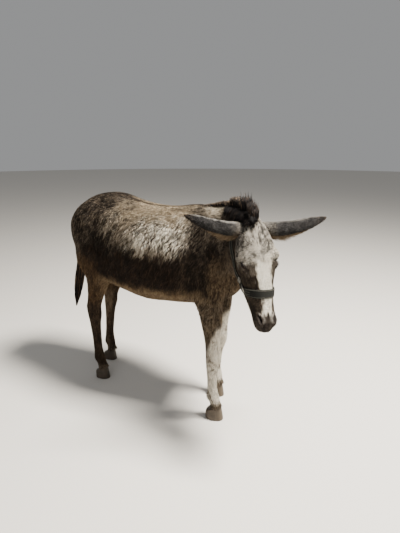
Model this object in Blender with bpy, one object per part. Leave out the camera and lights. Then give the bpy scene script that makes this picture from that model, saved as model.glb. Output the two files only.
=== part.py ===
"""A donkey standing square with its head hung low and turned to its right, life size, wearing a headcollar.

Body frame, in metres: +X towards the chest, +Y to the donkey's left, +Z up, the soles on z = 0.
The flesh is one skin, grown over lofts and muscles by a voxel remesh, and parted with thin cuts.
The last step moves everything so that the model's box stands centred on the origin.
"""

import math

import bmesh
import bpy
import numpy as np
from mathutils import Matrix, Vector

# Driving dimensions
WITHERS_Z = 1.200
CROUP_Z = 1.232
BACK_Z = 1.172
BELLY_Z = 0.618
STERNUM_Z = 0.665
BARREL_HALF_WIDTH = 0.262
FORE_X = 0.395
HIND_X = -0.455
STANCE_Y = 0.128
KNEE_Z = 0.375
HOCK_Z = 0.480
CORONET_Z = 0.062
HEAD_LENGTH = 0.500
EYE_RADIUS = 0.0185

# How the head is carried
POLL = Vector((0.645, -0.190, 1.172))
HEAD_YAW = math.radians(-44)
HEAD_TILT = math.radians(27)
HEAD_ROLL = math.radians(-2)
EAR_TIPS = {"left": Vector((0.905, 0.012, 1.176)), "right": Vector((0.372, -0.366, 1.198))}

# How finely the flesh is made
VOXEL = 0.010
FLESH_TRIANGLES = 3450
GAP = 0.0004
RING_POINTS = 40
SIDES = (("left", 1), ("right", -1))


# ---------------------------------------------------------------- modelling tools


def link(name, mesh):
    obj = bpy.data.objects.new(name, mesh)
    bpy.context.scene.collection.objects.link(obj)
    return obj


def mesh_from(name, points, faces):
    mesh = bpy.data.meshes.new(name)
    mesh.from_pydata([tuple(p) for p in points], [], faces)
    mesh.update()
    return mesh


def smooth_rows(rows, count):
    """The rows of a table, resampled along a smooth curve through their first three columns."""
    rows = np.array(rows, float)
    steps = np.linalg.norm(np.diff(rows[:, :3], axis=0), axis=1)
    along = np.concatenate([[0.0], np.cumsum(steps)])
    slope = np.gradient(rows, along, axis=0)
    wanted = np.linspace(0.0, along[-1], count)
    i = np.clip(np.searchsorted(along, wanted, "right") - 1, 0, len(rows) - 2)
    span = (along[i + 1] - along[i])[:, None]
    t = (wanted - along[i])[:, None] / span
    a, b = rows[i], rows[i + 1]
    return (
        a * (1 + 2 * t) * (1 - t) ** 2
        + slope[i] * span * t * (1 - t) ** 2
        + b * t**2 * (3 - 2 * t)
        + slope[i + 1] * span * t**2 * (t - 1)
    )


def oval(centre, side, up, half, above, below, taper=0.0, power=2.2):
    """A ring of points: half wide each way along side, above and below its centre along up.
    A positive taper makes it wider above than below, and a higher power makes it squarer."""
    angles = np.linspace(0.0, 2 * math.pi, RING_POINTS, endpoint=False)
    s = np.sign(np.sin(angles)) * np.abs(np.sin(angles)) ** (2 / power)
    c = np.sign(np.cos(angles)) * np.abs(np.cos(angles)) ** (2 / power)
    rise = np.where(c > 0, above, below) * c
    width = half * s * (1 + taper * c)
    return np.array(centre) + np.outer(width, side) + np.outer(rise, up)


def loft(name, rings):
    """A closed skin over rings of equal point count, with a flat face over each end."""
    n = len(rings[0])
    points = [point for ring in rings for point in ring]
    faces = [tuple(range(n)), tuple(range(len(points) - n, len(points)))]
    for r in range(len(rings) - 1):
        for k in range(n):
            a, b = r * n + k, r * n + (k + 1) % n
            faces.append((a, b, b + n, a + n))
    mesh = mesh_from(name, points, faces)
    make_normals_point_out(mesh)
    return mesh


def make_normals_point_out(mesh):
    bm = bmesh.new()
    bm.from_mesh(mesh)
    bmesh.ops.recalc_face_normals(bm, faces=bm.faces)
    if bm.calc_volume(signed=True) < 0:
        bmesh.ops.reverse_faces(bm, faces=bm.faces)
    bm.to_mesh(mesh)
    bm.free()


def ellipsoid(name, centre, radii, turn=(0, 0, 0), segments=24):
    """A ball stretched to three radii, turned by degrees about X, Y and Z."""
    bm = bmesh.new()
    bmesh.ops.create_uvsphere(bm, u_segments=segments, v_segments=segments * 2 // 3, radius=1.0)
    spin = Matrix.Identity(4)
    for axis, degrees in zip("XYZ", turn):
        spin = Matrix.Rotation(math.radians(degrees), 4, axis) @ spin
    place = Matrix.Translation(centre) @ spin @ Matrix.Diagonal((*radii, 1.0))
    bmesh.ops.transform(bm, matrix=place, verts=bm.verts)
    mesh = bpy.data.meshes.new(name)
    bm.to_mesh(mesh)
    bm.free()
    return mesh


def joined(name, meshes):
    """One mesh that holds them all, overlaps included."""
    bm = bmesh.new()
    for mesh in meshes:
        bm.from_mesh(mesh)
    whole = bpy.data.meshes.new(name)
    bm.to_mesh(whole)
    bm.free()
    return whole


def evaluated(obj):
    """The object's mesh with its modifiers applied, as a new mesh in world space."""
    bpy.context.view_layer.update()
    graph = bpy.context.evaluated_depsgraph_get()
    mesh = bpy.data.meshes.new_from_object(obj.evaluated_get(graph))
    mesh.transform(obj.matrix_world)
    return mesh


def with_modifier(mesh, kind, **settings):
    """The mesh as one modifier changes it."""
    obj = link("work", mesh)
    modifier = obj.modifiers.new(kind, kind)
    for key, value in settings.items():
        setattr(modifier, key, value)
    changed = evaluated(obj)
    bpy.data.objects.remove(obj)
    return changed


def boolean(mesh, cutter, operation):
    """The mesh less, within or with the cutter, by Blender's exact solver."""
    tool = link("tool", cutter)
    changed = with_modifier(mesh, "BOOLEAN", operation=operation, object=tool, solver="EXACT")
    bpy.data.objects.remove(tool)
    return changed


def points_of(mesh):
    co = np.empty(len(mesh.vertices) * 3, np.float32)
    mesh.vertices.foreach_get("co", co)
    return co.reshape(-1, 3).astype(float)


def relax(mesh, steps, share):
    """Evens out the surface. At each step each point moves that much of the way to its neighbours' mean;
    a negative step moves it back, so that limbs keep their girth. share, from 0 to 1, is each point's own."""
    edges = np.empty(len(mesh.edges) * 2, np.int32)
    mesh.edges.foreach_get("vertices", edges)
    a, b = edges.reshape(-1, 2).T
    points = points_of(mesh)
    count = np.bincount(np.concatenate([a, b]), minlength=len(points))[:, None]
    for step in steps:
        total = np.zeros_like(points)
        for axis in range(3):
            total[:, axis] = np.bincount(a, points[b, axis], len(points))
            total[:, axis] += np.bincount(b, points[a, axis], len(points))
        points += step * share[:, None] * (total / count - points)
    mesh.vertices.foreach_set("co", points.astype(np.float32).ravel())
    mesh.update()


def grown(mesh, by):
    """The mesh with its surface moved out along its normals."""
    return with_modifier(mesh, "DISPLACE", strength=by, mid_level=0.0)


# ---------------------------------------------------------------- the head's own frame

# The forms of the head are drawn 0.52 long
HEAD_SCALE = HEAD_LENGTH / 0.52
HEAD = (
    Matrix.Translation(POLL)
    @ Matrix.Rotation(HEAD_YAW, 4, "Z")
    @ Matrix.Rotation(-HEAD_TILT, 4, "Y")
    @ Matrix.Rotation(HEAD_ROLL, 4, "X")
    @ Matrix.Scale(HEAD_SCALE, 4)
)


def in_head(mesh):
    """Moves a mesh from the head's frame: +X out of the face, +Y to the left ear, the poll at the origin
    and the lips 0.52 below it, before it is scaled to HEAD_LENGTH."""
    mesh.transform(HEAD)
    return mesh


# Behind this x in the head's frame lies only neck, and the head's own forms fade out over this length
BEHIND_JAW_X = -0.26
HEAD_FADE = 0.10
# The height where the legs' own forms begin to fade into the trunk's, and over how much height they do
LIMB_Z = 0.62
LIMB_FADE = 0.16

# The plane between head and neck, in the head's frame: a point of it, and its normal towards the neck
NAPE = np.array((-0.050, 0.0, 0.030))
NECK_WARD = (-0.735, 0.0, 0.678)


# ---------------------------------------------------------------- the flesh


def trunk():
    """From the buttocks to the chest. Each row: x, y, middle z, half width, top z, bottom z, taper."""
    rows = [
        (-0.640, 0, 1.00, 0.040, 1.050, 0.940, 0.0),
        (-0.610, 0, 0.99, 0.110, 1.105, 0.860, 0.0),
        (-0.530, 0, 0.98, 0.172, 1.178, 0.780, -0.10),
        (-0.400, 0, 0.97, 0.206, CROUP_Z - 0.008, 0.700, -0.12),
        (-0.300, 0, 0.95, 0.222, CROUP_Z - 0.004, 0.655, -0.10),
        (-0.170, 0, 0.91, 0.246, BACK_Z + 0.020, BELLY_Z + 0.015, -0.06),
        (-0.020, 0, 0.90, BARREL_HALF_WIDTH, BACK_Z, BELLY_Z, -0.06),
        (0.110, 0, 0.91, 0.248, BACK_Z + 0.006, BELLY_Z + 0.014, -0.14),
        (0.240, 0, 0.92, 0.206, WITHERS_Z - 0.002, STERNUM_Z - 0.020, -0.30),
        (0.350, 0, 0.93, 0.172, WITHERS_Z - 0.014, STERNUM_Z, -0.34),
        (0.440, 0, 0.93, 0.140, 1.120, STERNUM_Z + 0.035, -0.20),
        (0.505, 0, 0.91, 0.100, 1.020, 0.775, 0.0),
        (0.530, 0, 0.90, 0.040, 0.950, 0.850, 0.0),
    ]
    rings = [
        oval((x, y, z), (0, 1, 0), (0, 0, 1), half, top - z, z - bottom, taper)
        for x, y, z, half, top, bottom, taper in smooth_rows(rows, 60)
    ]
    return loft("trunk", rings)


def neck_table():
    """From inside the shoulders to the poll, bending to the right. Each row: x, y, z of the
    middle, half width, crest above it, throat below it, taper. Also the way that it runs at each."""
    rows = [
        (0.270, 0.000, 0.985, 0.135, 0.200, 0.215, -0.40),
        (0.370, -0.008, 1.010, 0.126, 0.190, 0.215, -0.38),
        (0.460, -0.042, 1.038, 0.108, 0.172, 0.192, -0.34),
        (0.540, -0.098, 1.062, 0.090, 0.150, 0.158, -0.28),
        (0.600, -0.153, 1.078, 0.076, 0.120, 0.125, -0.15),
        (0.640, -0.190, 1.078, 0.064, 0.092, 0.098, 0.0),
    ]
    table = smooth_rows(rows, 34)
    return table, np.gradient(table[:, :3], axis=0)


def neck_axes(along):
    """The neck's own left and up, where it runs this way."""
    side = np.cross((0, 0, 1), along)
    side /= np.linalg.norm(side)
    up = np.cross(along, side)
    return side, up / np.linalg.norm(up)


def neck():
    rings = []
    for row, along in zip(*neck_table()):
        side, up = neck_axes(along)
        rings.append(oval(row[:3], side, up, row[3], row[4], row[5], row[6]))
    return loft("neck", rings)


def head_rings(rows, count, power):
    """Level rings in the head's frame. Each row: middle x, y, z, half width, face x, jaw x, taper."""
    return [
        oval((x, y, z), (0, 1, 0), (1, 0, 0), half, face - x, x - jaw, taper, power)
        for x, y, z, half, face, jaw, taper in smooth_rows(rows, count)
    ]


def skull():
    """The upper head, from the poll to the upper lip: broad at the brow, slim along the nose."""
    rows = [
        (-0.070, 0, 0.020, 0.030, -0.045, -0.100, 0.0),
        (-0.070, 0, 0.000, 0.054, -0.018, -0.128, 0.0),
        (-0.075, 0, -0.050, 0.075, 0.004, -0.150, 0.08),
        (-0.075, 0, -0.110, 0.091, 0.014, -0.160, 0.16),
        (-0.072, 0, -0.170, 0.098, 0.017, -0.158, 0.14),
        (-0.070, 0, -0.230, 0.086, 0.013, -0.150, 0.02),
        (-0.066, 0, -0.290, 0.070, 0.008, -0.138, -0.06),
        (-0.062, 0, -0.350, 0.060, 0.003, -0.120, -0.08),
        (-0.060, 0, -0.410, 0.055, -0.003, -0.108, -0.06),
        (-0.060, 0, -0.460, 0.051, -0.008, -0.102, 0.0),
        (-0.062, 0, -0.494, 0.041, -0.016, -0.098, 0.0),
        (-0.064, 0, -0.513, 0.023, -0.038, -0.088, 0.0),
    ]
    return in_head(loft("skull", head_rings(rows, 46, 2.3)))


def jaw():
    """The lower jaw: deep round cheeks, slim bars and the chin."""
    rows = [
        (-0.160, 0, -0.060, 0.030, -0.120, -0.190, 0.0),
        (-0.165, 0, -0.090, 0.052, -0.080, -0.225, 0.10),
        (-0.160, 0, -0.150, 0.062, -0.070, -0.238, 0.20),
        (-0.156, 0, -0.210, 0.065, -0.070, -0.243, 0.22),
        (-0.145, 0, -0.270, 0.062, -0.070, -0.228, 0.18),
        (-0.128, 0, -0.330, 0.051, -0.065, -0.192, 0.10),
        (-0.114, 0, -0.390, 0.041, -0.060, -0.158, 0.0),
        (-0.104, 0, -0.440, 0.034, -0.060, -0.142, 0.0),
        (-0.100, 0, -0.470, 0.033, -0.060, -0.136, 0.0),
        (-0.096, 0, -0.494, 0.018, -0.080, -0.118, 0.0),
    ]
    return in_head(loft("jaw", head_rings(rows, 40, 2.2)))


def head_forms():
    """Brow ridges, cheek muscles, nostril rims and lips, mirrored about the face."""
    forms = [skull(), jaw()]
    for _, s in SIDES:
        forms += [
            in_head(ellipsoid("orbit", (-0.038, s * 0.078, -0.158), (0.036, 0.030, 0.036), (s * 14, 12, 0))),
            in_head(ellipsoid("cheek", (-0.150, s * 0.042, -0.185), (0.078, 0.036, 0.092))),
            in_head(ellipsoid("cheek_crest", (-0.078, s * 0.054, -0.245), (0.028, 0.026, 0.080))),
            in_head(ellipsoid("nostril", (-0.034, s * 0.030, -0.460), (0.027, 0.022, 0.036), (0, -10, 0))),
        ]
    forms.append(in_head(ellipsoid("upper_lip", (-0.050, 0, -0.490), (0.038, 0.034, 0.030), (0, 8, 0))))
    forms.append(in_head(ellipsoid("lower_lip", (-0.100, 0, -0.480), (0.033, 0.031, 0.025), (0, -12, 0))))
    return forms


# Where each leg leaves the trunk and where its foot stands: x, y, foot x, foot y
LEGS = {
    "front_right": (FORE_X, -STANCE_Y, 0.397, -0.124),
    "front_left": (FORE_X - 0.055, STANCE_Y - 0.004, 0.300, 0.084),
    "back_right": (HIND_X, 0.004 - STANCE_Y, -0.448, -0.118),
    "back_left": (HIND_X - 0.030, STANCE_Y - 0.004, -0.572, 0.096),
}
# The height from which a leg leans towards its foot
LEG_TOP = {"front": 0.70, "back": 0.80}

# A leg's rings from the shoulder or haunch to inside the hoof: z, how far ahead of the leg's line,
# half depth fore and aft, half width
FORELEG = (
    (0.93, -0.010, 0.100, 0.050),
    (0.82, -0.025, 0.104, 0.062),
    (0.73, -0.034, 0.090, 0.062),
    (0.65, -0.016, 0.070, 0.053),
    (0.56, -0.005, 0.056, 0.045),
    (0.46, 0.000, 0.043, 0.037),
    (KNEE_Z + 0.030, 0.004, 0.043, 0.040),
    (KNEE_Z - 0.015, 0.003, 0.041, 0.039),
    (KNEE_Z - 0.060, -0.002, 0.034, 0.032),
    (0.240, -0.003, 0.029, 0.026),
    (0.175, -0.001, 0.030, 0.027),
    (0.138, 0.003, 0.037, 0.033),
    (0.100, 0.017, 0.032, 0.029),
    (0.070, 0.028, 0.038, 0.035),
    (0.045, 0.034, 0.041, 0.037),
    (0.025, 0.038, 0.036, 0.032),
)
HINDLEG = (
    (1.00, 0.040, 0.160, 0.070),
    (0.90, 0.045, 0.150, 0.076),
    (0.80, 0.056, 0.124, 0.072),
    (0.72, 0.052, 0.096, 0.062),
    (0.64, 0.030, 0.070, 0.050),
    (0.56, 0.004, 0.053, 0.040),
    (HOCK_Z + 0.025, -0.014, 0.052, 0.037),
    (HOCK_Z - 0.025, -0.012, 0.048, 0.038),
    (HOCK_Z - 0.080, -0.014, 0.039, 0.032),
    (0.300, -0.012, 0.032, 0.027),
    (0.185, -0.008, 0.032, 0.027),
    (0.142, -0.003, 0.037, 0.032),
    (0.104, 0.012, 0.032, 0.029),
    (0.070, 0.026, 0.038, 0.035),
    (0.045, 0.032, 0.041, 0.037),
    (0.025, 0.036, 0.036, 0.032),
)
# The heel bone and the tendon that runs up from it: z, how far behind the leg's line, half depth, half height
HOCK_RIDGE = ((HOCK_Z + 0.015, 0.046, 0.020, 0.040), (HOCK_Z + 0.075, 0.042, 0.013, 0.075))


def end_of(name):
    """front or back"""
    return name.split("_")[0]


def leg_place(name, z, ahead=0.0):
    """The middle of a leg at height z, on the line from its root to its foot."""
    x, y, foot_x, foot_y = LEGS[name]
    top = LEG_TOP[end_of(name)]
    share = min(1.0, max(0.0, (top - z) / top))
    return x + (foot_x - x) * share + ahead, y + (foot_y - y) * share, z


def leg(name):
    table = FORELEG if end_of(name) == "front" else HINDLEG
    rows = [(*leg_place(name, z, ahead), deep, half) for z, ahead, deep, half in table]
    rings = [
        oval((x, y, z), (0, 1, 0), (1, 0, 0), half, deep, deep)
        for x, y, z, deep, half in smooth_rows(rows, 60)
    ]
    return loft(name, rings)


def hock_points():
    """The heel bone and tendon behind each hock."""
    return [
        ellipsoid("hock_ridge", leg_place(name, z, -behind), (deep, 0.019, tall), (0, 10, 0))
        for name in ("back_right", "back_left")
        for z, behind, deep, tall in HOCK_RIDGE
    ]


def muscles():
    """The forms that stand out of the trunk: shoulders, breast, haunches, hips and stifles."""
    forms = [ellipsoid("breast", (0.450, 0, 0.850), (0.080, 0.110, 0.120))]
    for _, s in SIDES:
        forms += [
            ellipsoid("shoulder_blade", (0.325, s * 0.094, 0.970), (0.110, 0.072, 0.205), (0, 18, 0)),
            ellipsoid("upper_arm", (0.375, s * 0.110, 0.830), (0.115, 0.068, 0.100), (0, -30, 0)),
            ellipsoid("haunch", (-0.400, s * 0.102, 1.000), (0.200, 0.108, 0.185), (0, 20, 0)),
            ellipsoid("point_of_hip", (-0.290, s * 0.146, 1.110), (0.070, 0.052, 0.050)),
            ellipsoid("buttock", (-0.545, s * 0.080, 0.965), (0.085, 0.072, 0.150), (0, -12, 0)),
            ellipsoid("thigh", (-0.440, s * 0.125, 0.850), (0.130, 0.072, 0.150), (0, 14, 0)),
            ellipsoid("stifle", (-0.345, s * 0.135, 0.780), (0.080, 0.055, 0.090)),
        ]
    return forms


def bulk_of(points):
    """1 on trunk and neck, where the forms melt together, and 0 on the head and the lower legs."""
    in_face = np.array([HEAD.inverted() @ Vector(p) for p in points])
    from_head = np.maximum((in_face - NAPE) @ np.array(NECK_WARD), BEHIND_JAW_X - in_face[:, 0])
    above_legs = (points[:, 2] - LIMB_Z) / LIMB_FADE
    return np.clip(from_head / HEAD_FADE, 0.0, 1.0) * np.clip(above_legs, 0.0, 1.0)


def flesh():
    """The whole animal but ears, eyes, hooves and hair, as one closed skin."""
    forms = [trunk(), neck(), *head_forms(), *muscles(), *hock_points()]
    forms += [leg(name) for name in LEGS]
    skin = with_modifier(joined("flesh", forms), "REMESH", mode="VOXEL", voxel_size=VOXEL)
    bulk = bulk_of(points_of(skin))
    relax(skin, [0.5] * 36, bulk)
    relax(skin, [0.55, -0.53] * 8, np.clip(0.35 + bulk, 0.0, 1.0))
    thin = FLESH_TRIANGLES / (2 * len(skin.polygons))
    return with_modifier(skin, "DECIMATE", decimate_type="COLLAPSE", ratio=thin)


# ---------------------------------------------------------------- cuts between the nodes

# The cut between trunk and leg: its rise forwards and outwards, its height by the leg's line at the
# middle of the body, and how far it reaches ahead of and behind that line
LEG_CUT = {"front": (0.80, 0.95, 0.620, 0.20, 0.12), "back": (-0.60, 0.90, 0.660, 0.20, 0.30)}
# The parts of a leg from the top, each with the height of the cut below it
LEG_PARTS = {
    "front": (("forearm", KNEE_Z + 0.055), ("fore_cannon", 0.162)),
    "back": (("gaskin", HOCK_Z + 0.060), ("hind_cannon", 0.166)),
}
PASTERN = {"front": "fore_pastern", "back": "hind_pastern"}
# The coronet's height at the middle of the leg, and how it rises forwards
CORONET = (CORONET_Z, 0.36)


def hull(points):
    """The convex solid round a few points."""
    bm = bmesh.new()
    for point in points:
        bm.verts.new(point)
    bmesh.ops.convex_hull(bm, input=bm.verts)
    mesh = bpy.data.meshes.new("hull")
    bm.to_mesh(mesh)
    bm.free()
    make_normals_point_out(mesh)
    return mesh


def prism(outline, side_from, side_to):
    """A solid with a convex outline in x and z, drawn out along y."""
    return hull([(x, y, z) for x, z in outline for y in (side_from, side_to)])


def sloped_box(x_range, y_range, top, slope_x=0.0, slope_y=0.0, bottom=-0.10):
    """A box from the floor up, whose top leans: top is its height at x = y = 0."""
    points = []
    for x in x_range:
        for y in y_range:
            points += [(x, y, bottom), (x, y, top + slope_x * x + slope_y * y)]
    return hull(points)


def split(mesh, cutter):
    """What lies inside the cutter and what lies outside it, a gap apart."""
    return boolean(mesh, cutter, "INTERSECT"), boolean(mesh, grown(cutter, 2 * GAP), "DIFFERENCE")


def level_box(name, z, slope_x=0.0):
    """The space round a leg below height z."""
    x, y, _ = leg_place(name, z)
    return sloped_box((x - 0.13, x + 0.13), (y - 0.065, y + 0.065), z - slope_x * x, slope_x)


def below_trunk(name):
    """The space below the oblique cut that parts a leg from the trunk."""
    x, y, *_foot = LEGS[name]
    slope_x, slope_y, inner_z, ahead, behind = LEG_CUT[end_of(name)]
    way = math.copysign(1, y)
    y_range = (0.001 * way, 0.34 * way)
    return sloped_box((x - behind, x + ahead), y_range, inner_z - slope_x * x, slope_x, slope_y * way)


def parted_flesh(skin):
    """The flesh cut into its nodes: {name: mesh}. What would be inside the hooves is dropped."""
    nodes = {}
    behind_ears = [(0.120, 0.214), (-0.292, -0.233), (-0.292, -0.600), (0.120, -0.600)]
    head, rest = split(skin, in_head(prism(behind_ears, -0.20, 0.20)))
    mouth_end = [(0.120, -0.420), (-0.300, -0.405), (-0.300, -0.640), (0.120, -0.640)]
    nodes["muzzle"], nodes["head"] = split(head, in_head(prism(mouth_end, -0.20, 0.20)))
    neck_front = [(0.395, 1.210), (0.540, 0.842), (1.20, 0.842), (1.20, 1.40), (0.395, 1.40)]
    nodes["neck"], rest = split(rest, prism(neck_front, -0.60, 0.40))
    for name in LEGS:
        end, side = name.split("_")
        limb, rest = split(rest, below_trunk(name))
        for part, z in LEG_PARTS[end]:
            limb, nodes[f"{part}_{side}"] = split(limb, level_box(name, z))
        nodes[f"{PASTERN[end]}_{side}"] = boolean(limb, grown(level_box(name, *CORONET), GAP), "DIFFERENCE")
    nodes["trunk"] = rest
    return nodes


# ---------------------------------------------------------------- hooves

# The hoof's outline from sole to coronet: share of the height, toe, heel, half width
HOOF_RINGS = (
    (0.00, 0.064, -0.036, 0.037),
    (0.06, 0.067, -0.038, 0.040),
    (0.50, 0.060, -0.038, 0.040),
    (0.90, 0.053, -0.036, 0.039),
    (1.00, 0.050, -0.034, 0.036),
)


def hoof(name):
    """A donkey's narrow upright hoof: an egg-shaped flat sole, a sloping toe and a tilted coronet."""
    _x, _y, foot_x, foot_y = LEGS[name]
    scale = 1.0 if end_of(name) == "front" else 0.93
    rings = []
    for share, *reach in HOOF_RINGS:
        toe, heel, half = np.array(reach) * scale
        ring = oval((foot_x, foot_y, 0), (0, 1, 0), (1, 0, 0), half, toe, -heel, -0.06)
        top = CORONET[0] + CORONET[1] * (ring[:, 0] - leg_place(name, CORONET[0])[0]) - GAP
        ring[:, 2] = share * top
        rings.append(ring[::2])
    return loft("hoof", rings)


# ---------------------------------------------------------------- ears

EAR_FLATNESS = 1.15
EAR_POINTS = 9
EAR_OPENING = (-0.50, 0.30, -0.80)
EAR_SAG = 0.022
# From root to tip: share of the length, radius of the curl, how far it wraps each way, thickness
EAR_RINGS = [
    (share, radius, math.radians(wrap), wall)
    for share, radius, wrap, wall in (
        (0.00, 0.031, 156, 0.010),
        (0.10, 0.032, 146, 0.010),
        (0.22, 0.034, 128, 0.009),
        (0.36, 0.035, 110, 0.009),
        (0.52, 0.034, 100, 0.008),
        (0.68, 0.031, 92, 0.007),
        (0.82, 0.024, 86, 0.006),
        (0.93, 0.014, 82, 0.005),
        (1.00, 0.005, 80, 0.003),
    )
]


def ear(side, s):
    """A long curled leaf from the side of the poll, its opening turned down and forwards."""
    root = HEAD @ Vector((-0.066, s * 0.042, -0.022))
    tip = EAR_TIPS[side]
    along = (tip - root).normalized()
    opening = Vector(EAR_OPENING)
    opening = (opening - opening.dot(along) * along).normalized()
    across = along.cross(opening)
    rings = []
    for t, radius, wrap, wall in EAR_RINGS:
        sag = EAR_SAG * math.sin(math.pi * t)
        middle = root + (tip - root) * t - Vector((0, 0, sag))
        outer = np.linspace(-wrap, wrap, EAR_POINTS)
        ring = []
        for angles, r in ((outer, radius), (outer[::-1], max(radius - wall, 0.25 * radius))):
            ring += [
                middle + across * (r * EAR_FLATNESS * math.sin(angle)) - opening * (r * math.cos(angle))
                for angle in angles
            ]
        rings.append(ring)
    return loft("ear", rings)


# ---------------------------------------------------------------- eyes


# The middle of the left eyeball in the head's frame, before it is scaled
EYE_PLACE = (-0.028, 0.0685, -0.207)


def eye(s):
    x, y, z = EYE_PLACE
    return in_head(ellipsoid("eye", (x, s * y, z), (EYE_RADIUS / HEAD_SCALE,) * 3, segments=14))


# ---------------------------------------------------------------- mane, forelock and tail


def strand(rows, count, corners=10):
    """A tapering lock of hair. Each row: x, y, z, half width across, half depth."""
    table = smooth_rows(rows, count)
    ahead = np.gradient(table[:, :3], axis=0)
    rings = []
    for row, along in zip(table, ahead):
        side = np.cross(along, (1.0, 0.0, 0.15))
        side /= np.linalg.norm(side)
        up = np.cross(side, along)
        up /= np.linalg.norm(up)
        rings.append(oval(row[:3], side, up, row[3], row[4], row[4], 0.0, 2.0)[:: RING_POINTS // corners])
    return loft("strand", rings)


def tail_switch():
    """The long hair of the tail, from the end of the dock to its tip."""
    rows = [
        (-0.648, -0.010, 0.835, 0.021, 0.019),
        (-0.658, -0.014, 0.760, 0.028, 0.024),
        (-0.674, -0.020, 0.660, 0.034, 0.028),
        (-0.692, -0.030, 0.550, 0.029, 0.023),
        (-0.705, -0.036, 0.480, 0.018, 0.014),
        (-0.714, -0.040, 0.430, 0.005, 0.004),
    ]
    return strand(rows, 10)


def tail_dock():
    """The short-haired upper tail, hanging close behind the buttocks."""
    rows = [
        (-0.545, 0.000, 1.110, 0.028, 0.030),
        (-0.590, 0.000, 1.090, 0.030, 0.029),
        (-0.624, 0.000, 1.030, 0.029, 0.026),
        (-0.638, -0.003, 0.950, 0.024, 0.022),
        (-0.647, -0.009, 0.840, 0.019, 0.017),
    ]
    return strand(rows, 8)


def mane():
    """The short upright mane along the crest, from the withers to the poll."""
    rings = []
    table, ahead = neck_table()
    for k in range(3, len(table) - 1, 3):
        row, along = table[k], ahead[k]
        side, up = neck_axes(along)
        share = k / (len(table) - 1)
        base = row[:3] + up * row[4]
        tall = 0.008 + 0.056 * math.sin(0.5 * math.pi * min(1.0, share / 0.85)) ** 3
        ring = oval(base, side, up, 0.016, tall, 0.030, -0.45, 2.0)[::4]
        rings.append(ring)
    return loft("mane", rings)


def forelock():
    """The tuft between the ears that falls on to the brow."""
    lock = joined("forelock", [
        in_head(ellipsoid("fringe", (-0.016, -0.014, 0.004), (0.026, 0.028, 0.050), (0, -20, 0))),
        in_head(ellipsoid("crest_end", (-0.056, 0, 0.022), (0.036, 0.020, 0.036))),
    ])
    lock = with_modifier(lock, "REMESH", mode="VOXEL", voxel_size=0.007)
    relax(lock, [0.5] * 3, np.ones(len(lock.vertices)))
    return with_modifier(lock, "DECIMATE", decimate_type="COLLAPSE", ratio=140 / len(lock.polygons) / 2)


# ---------------------------------------------------------------- the headcollar

STRAP = 0.0045


def ribbon(path, width, reach):
    """A bent bar across the head: a path in its x and z, this wide, that reaches so far to each side."""
    path = np.array(path)
    run = np.gradient(path, axis=0)
    run /= np.linalg.norm(run, axis=1)[:, None]
    edge = np.stack([-run[:, 1], run[:, 0]], 1) * (width / 2)
    points = []
    for (x, z), (ex, ez) in zip(path, edge):
        for way, y in ((1, -reach), (1, reach), (-1, reach), (-1, -reach)):
            points.append((x + way * ex, y, z + way * ez))
    last = len(points) - 4
    faces = [(0, 1, 2, 3), (last, last + 1, last + 2, last + 3)]
    for r in range(len(path) - 1):
        faces += [(4 * r + k, 4 * r + (k + 1) % 4, 4 * r + 4 + (k + 1) % 4, 4 * r + 4 + k) for k in range(4)]
    mesh = mesh_from("ribbon", points, faces)
    make_normals_point_out(mesh)
    return in_head(mesh)


def strap(skin, volume):
    """What a sheet of webbing on the skin has within the volume."""
    sheet = boolean(grown(skin, STRAP), volume, "INTERSECT")
    return boolean(sheet, grown(skin, 2 * GAP), "DIFFERENCE")


def one_side(mesh, s):
    """What lies on the head's left, s = 1, or on its right, s = -1."""
    half_space = in_head(prism([(-0.4, -0.7), (-0.4, 0.2), (0.2, 0.2), (0.2, -0.7)], 0.0, 0.3 * s))
    return boolean(mesh, half_space, "INTERSECT")


def headcollar(skin):
    """The noseband, the cheek straps and the strap over the poll."""
    nose = ribbon([(0.060, -0.366), (-0.280, -0.254)], 0.036, 0.18)
    cheeks = ribbon([(-0.105, -0.300), (-0.155, -0.190), (-0.130, -0.060)], 0.024, 0.17)
    crown = ribbon([(-0.128, -0.050), (-0.104, 0.150)], 0.026, 0.16)
    cheek_pair = strap(skin, boolean(cheeks, grown(nose, 0.001), "DIFFERENCE"))
    nodes = {"noseband": strap(skin, nose)}
    nodes["crown_strap"] = strap(skin, boolean(crown, grown(cheeks, 0.001), "DIFFERENCE"))
    for side, s in SIDES:
        nodes[f"cheek_strap_{side}"] = one_side(cheek_pair, s)
    return nodes


# ---------------------------------------------------------------- the model

COAT = {
    "coat": ((0.150, 0.115, 0.088), 0.85),
    "dark_coat": ((0.060, 0.045, 0.036), 0.85),
    "pale_coat": ((0.480, 0.420, 0.350), 0.85),
    "horn": ((0.200, 0.135, 0.085), 0.45),
    "eye": ((0.012, 0.008, 0.006), 0.08),
    "webbing": ((0.030, 0.036, 0.034), 0.70),
}
# Which material each node takes; a node that isn't named here has the coat's
WEARS = {
    "hoof": "horn",
    "eye": "eye",
    "mane": "dark_coat",
    "forelock": "dark_coat",
    "tail_switch": "dark_coat",
    "muzzle": "dark_coat",
    "fore_cannon": "pale_coat",
    "fore_pastern": "pale_coat",
    "noseband": "webbing",
    "cheek_strap": "webbing",
    "crown_strap": "webbing",
}


def materials():
    made = {}
    for name, (colour, roughness) in COAT.items():
        material = bpy.data.materials.new(name)
        material.use_nodes = True
        shader = material.node_tree.nodes["Principled BSDF"]
        shader.inputs["Base Color"].default_value = (*colour, 1.0)
        shader.inputs["Roughness"].default_value = roughness
        made[name] = material
    return made


def make_room(nodes, name, others):
    """Cuts a node back from its neighbours."""
    for other in others:
        nodes[name] = boolean(nodes[name], grown(nodes[other], GAP), "DIFFERENCE")


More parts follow.
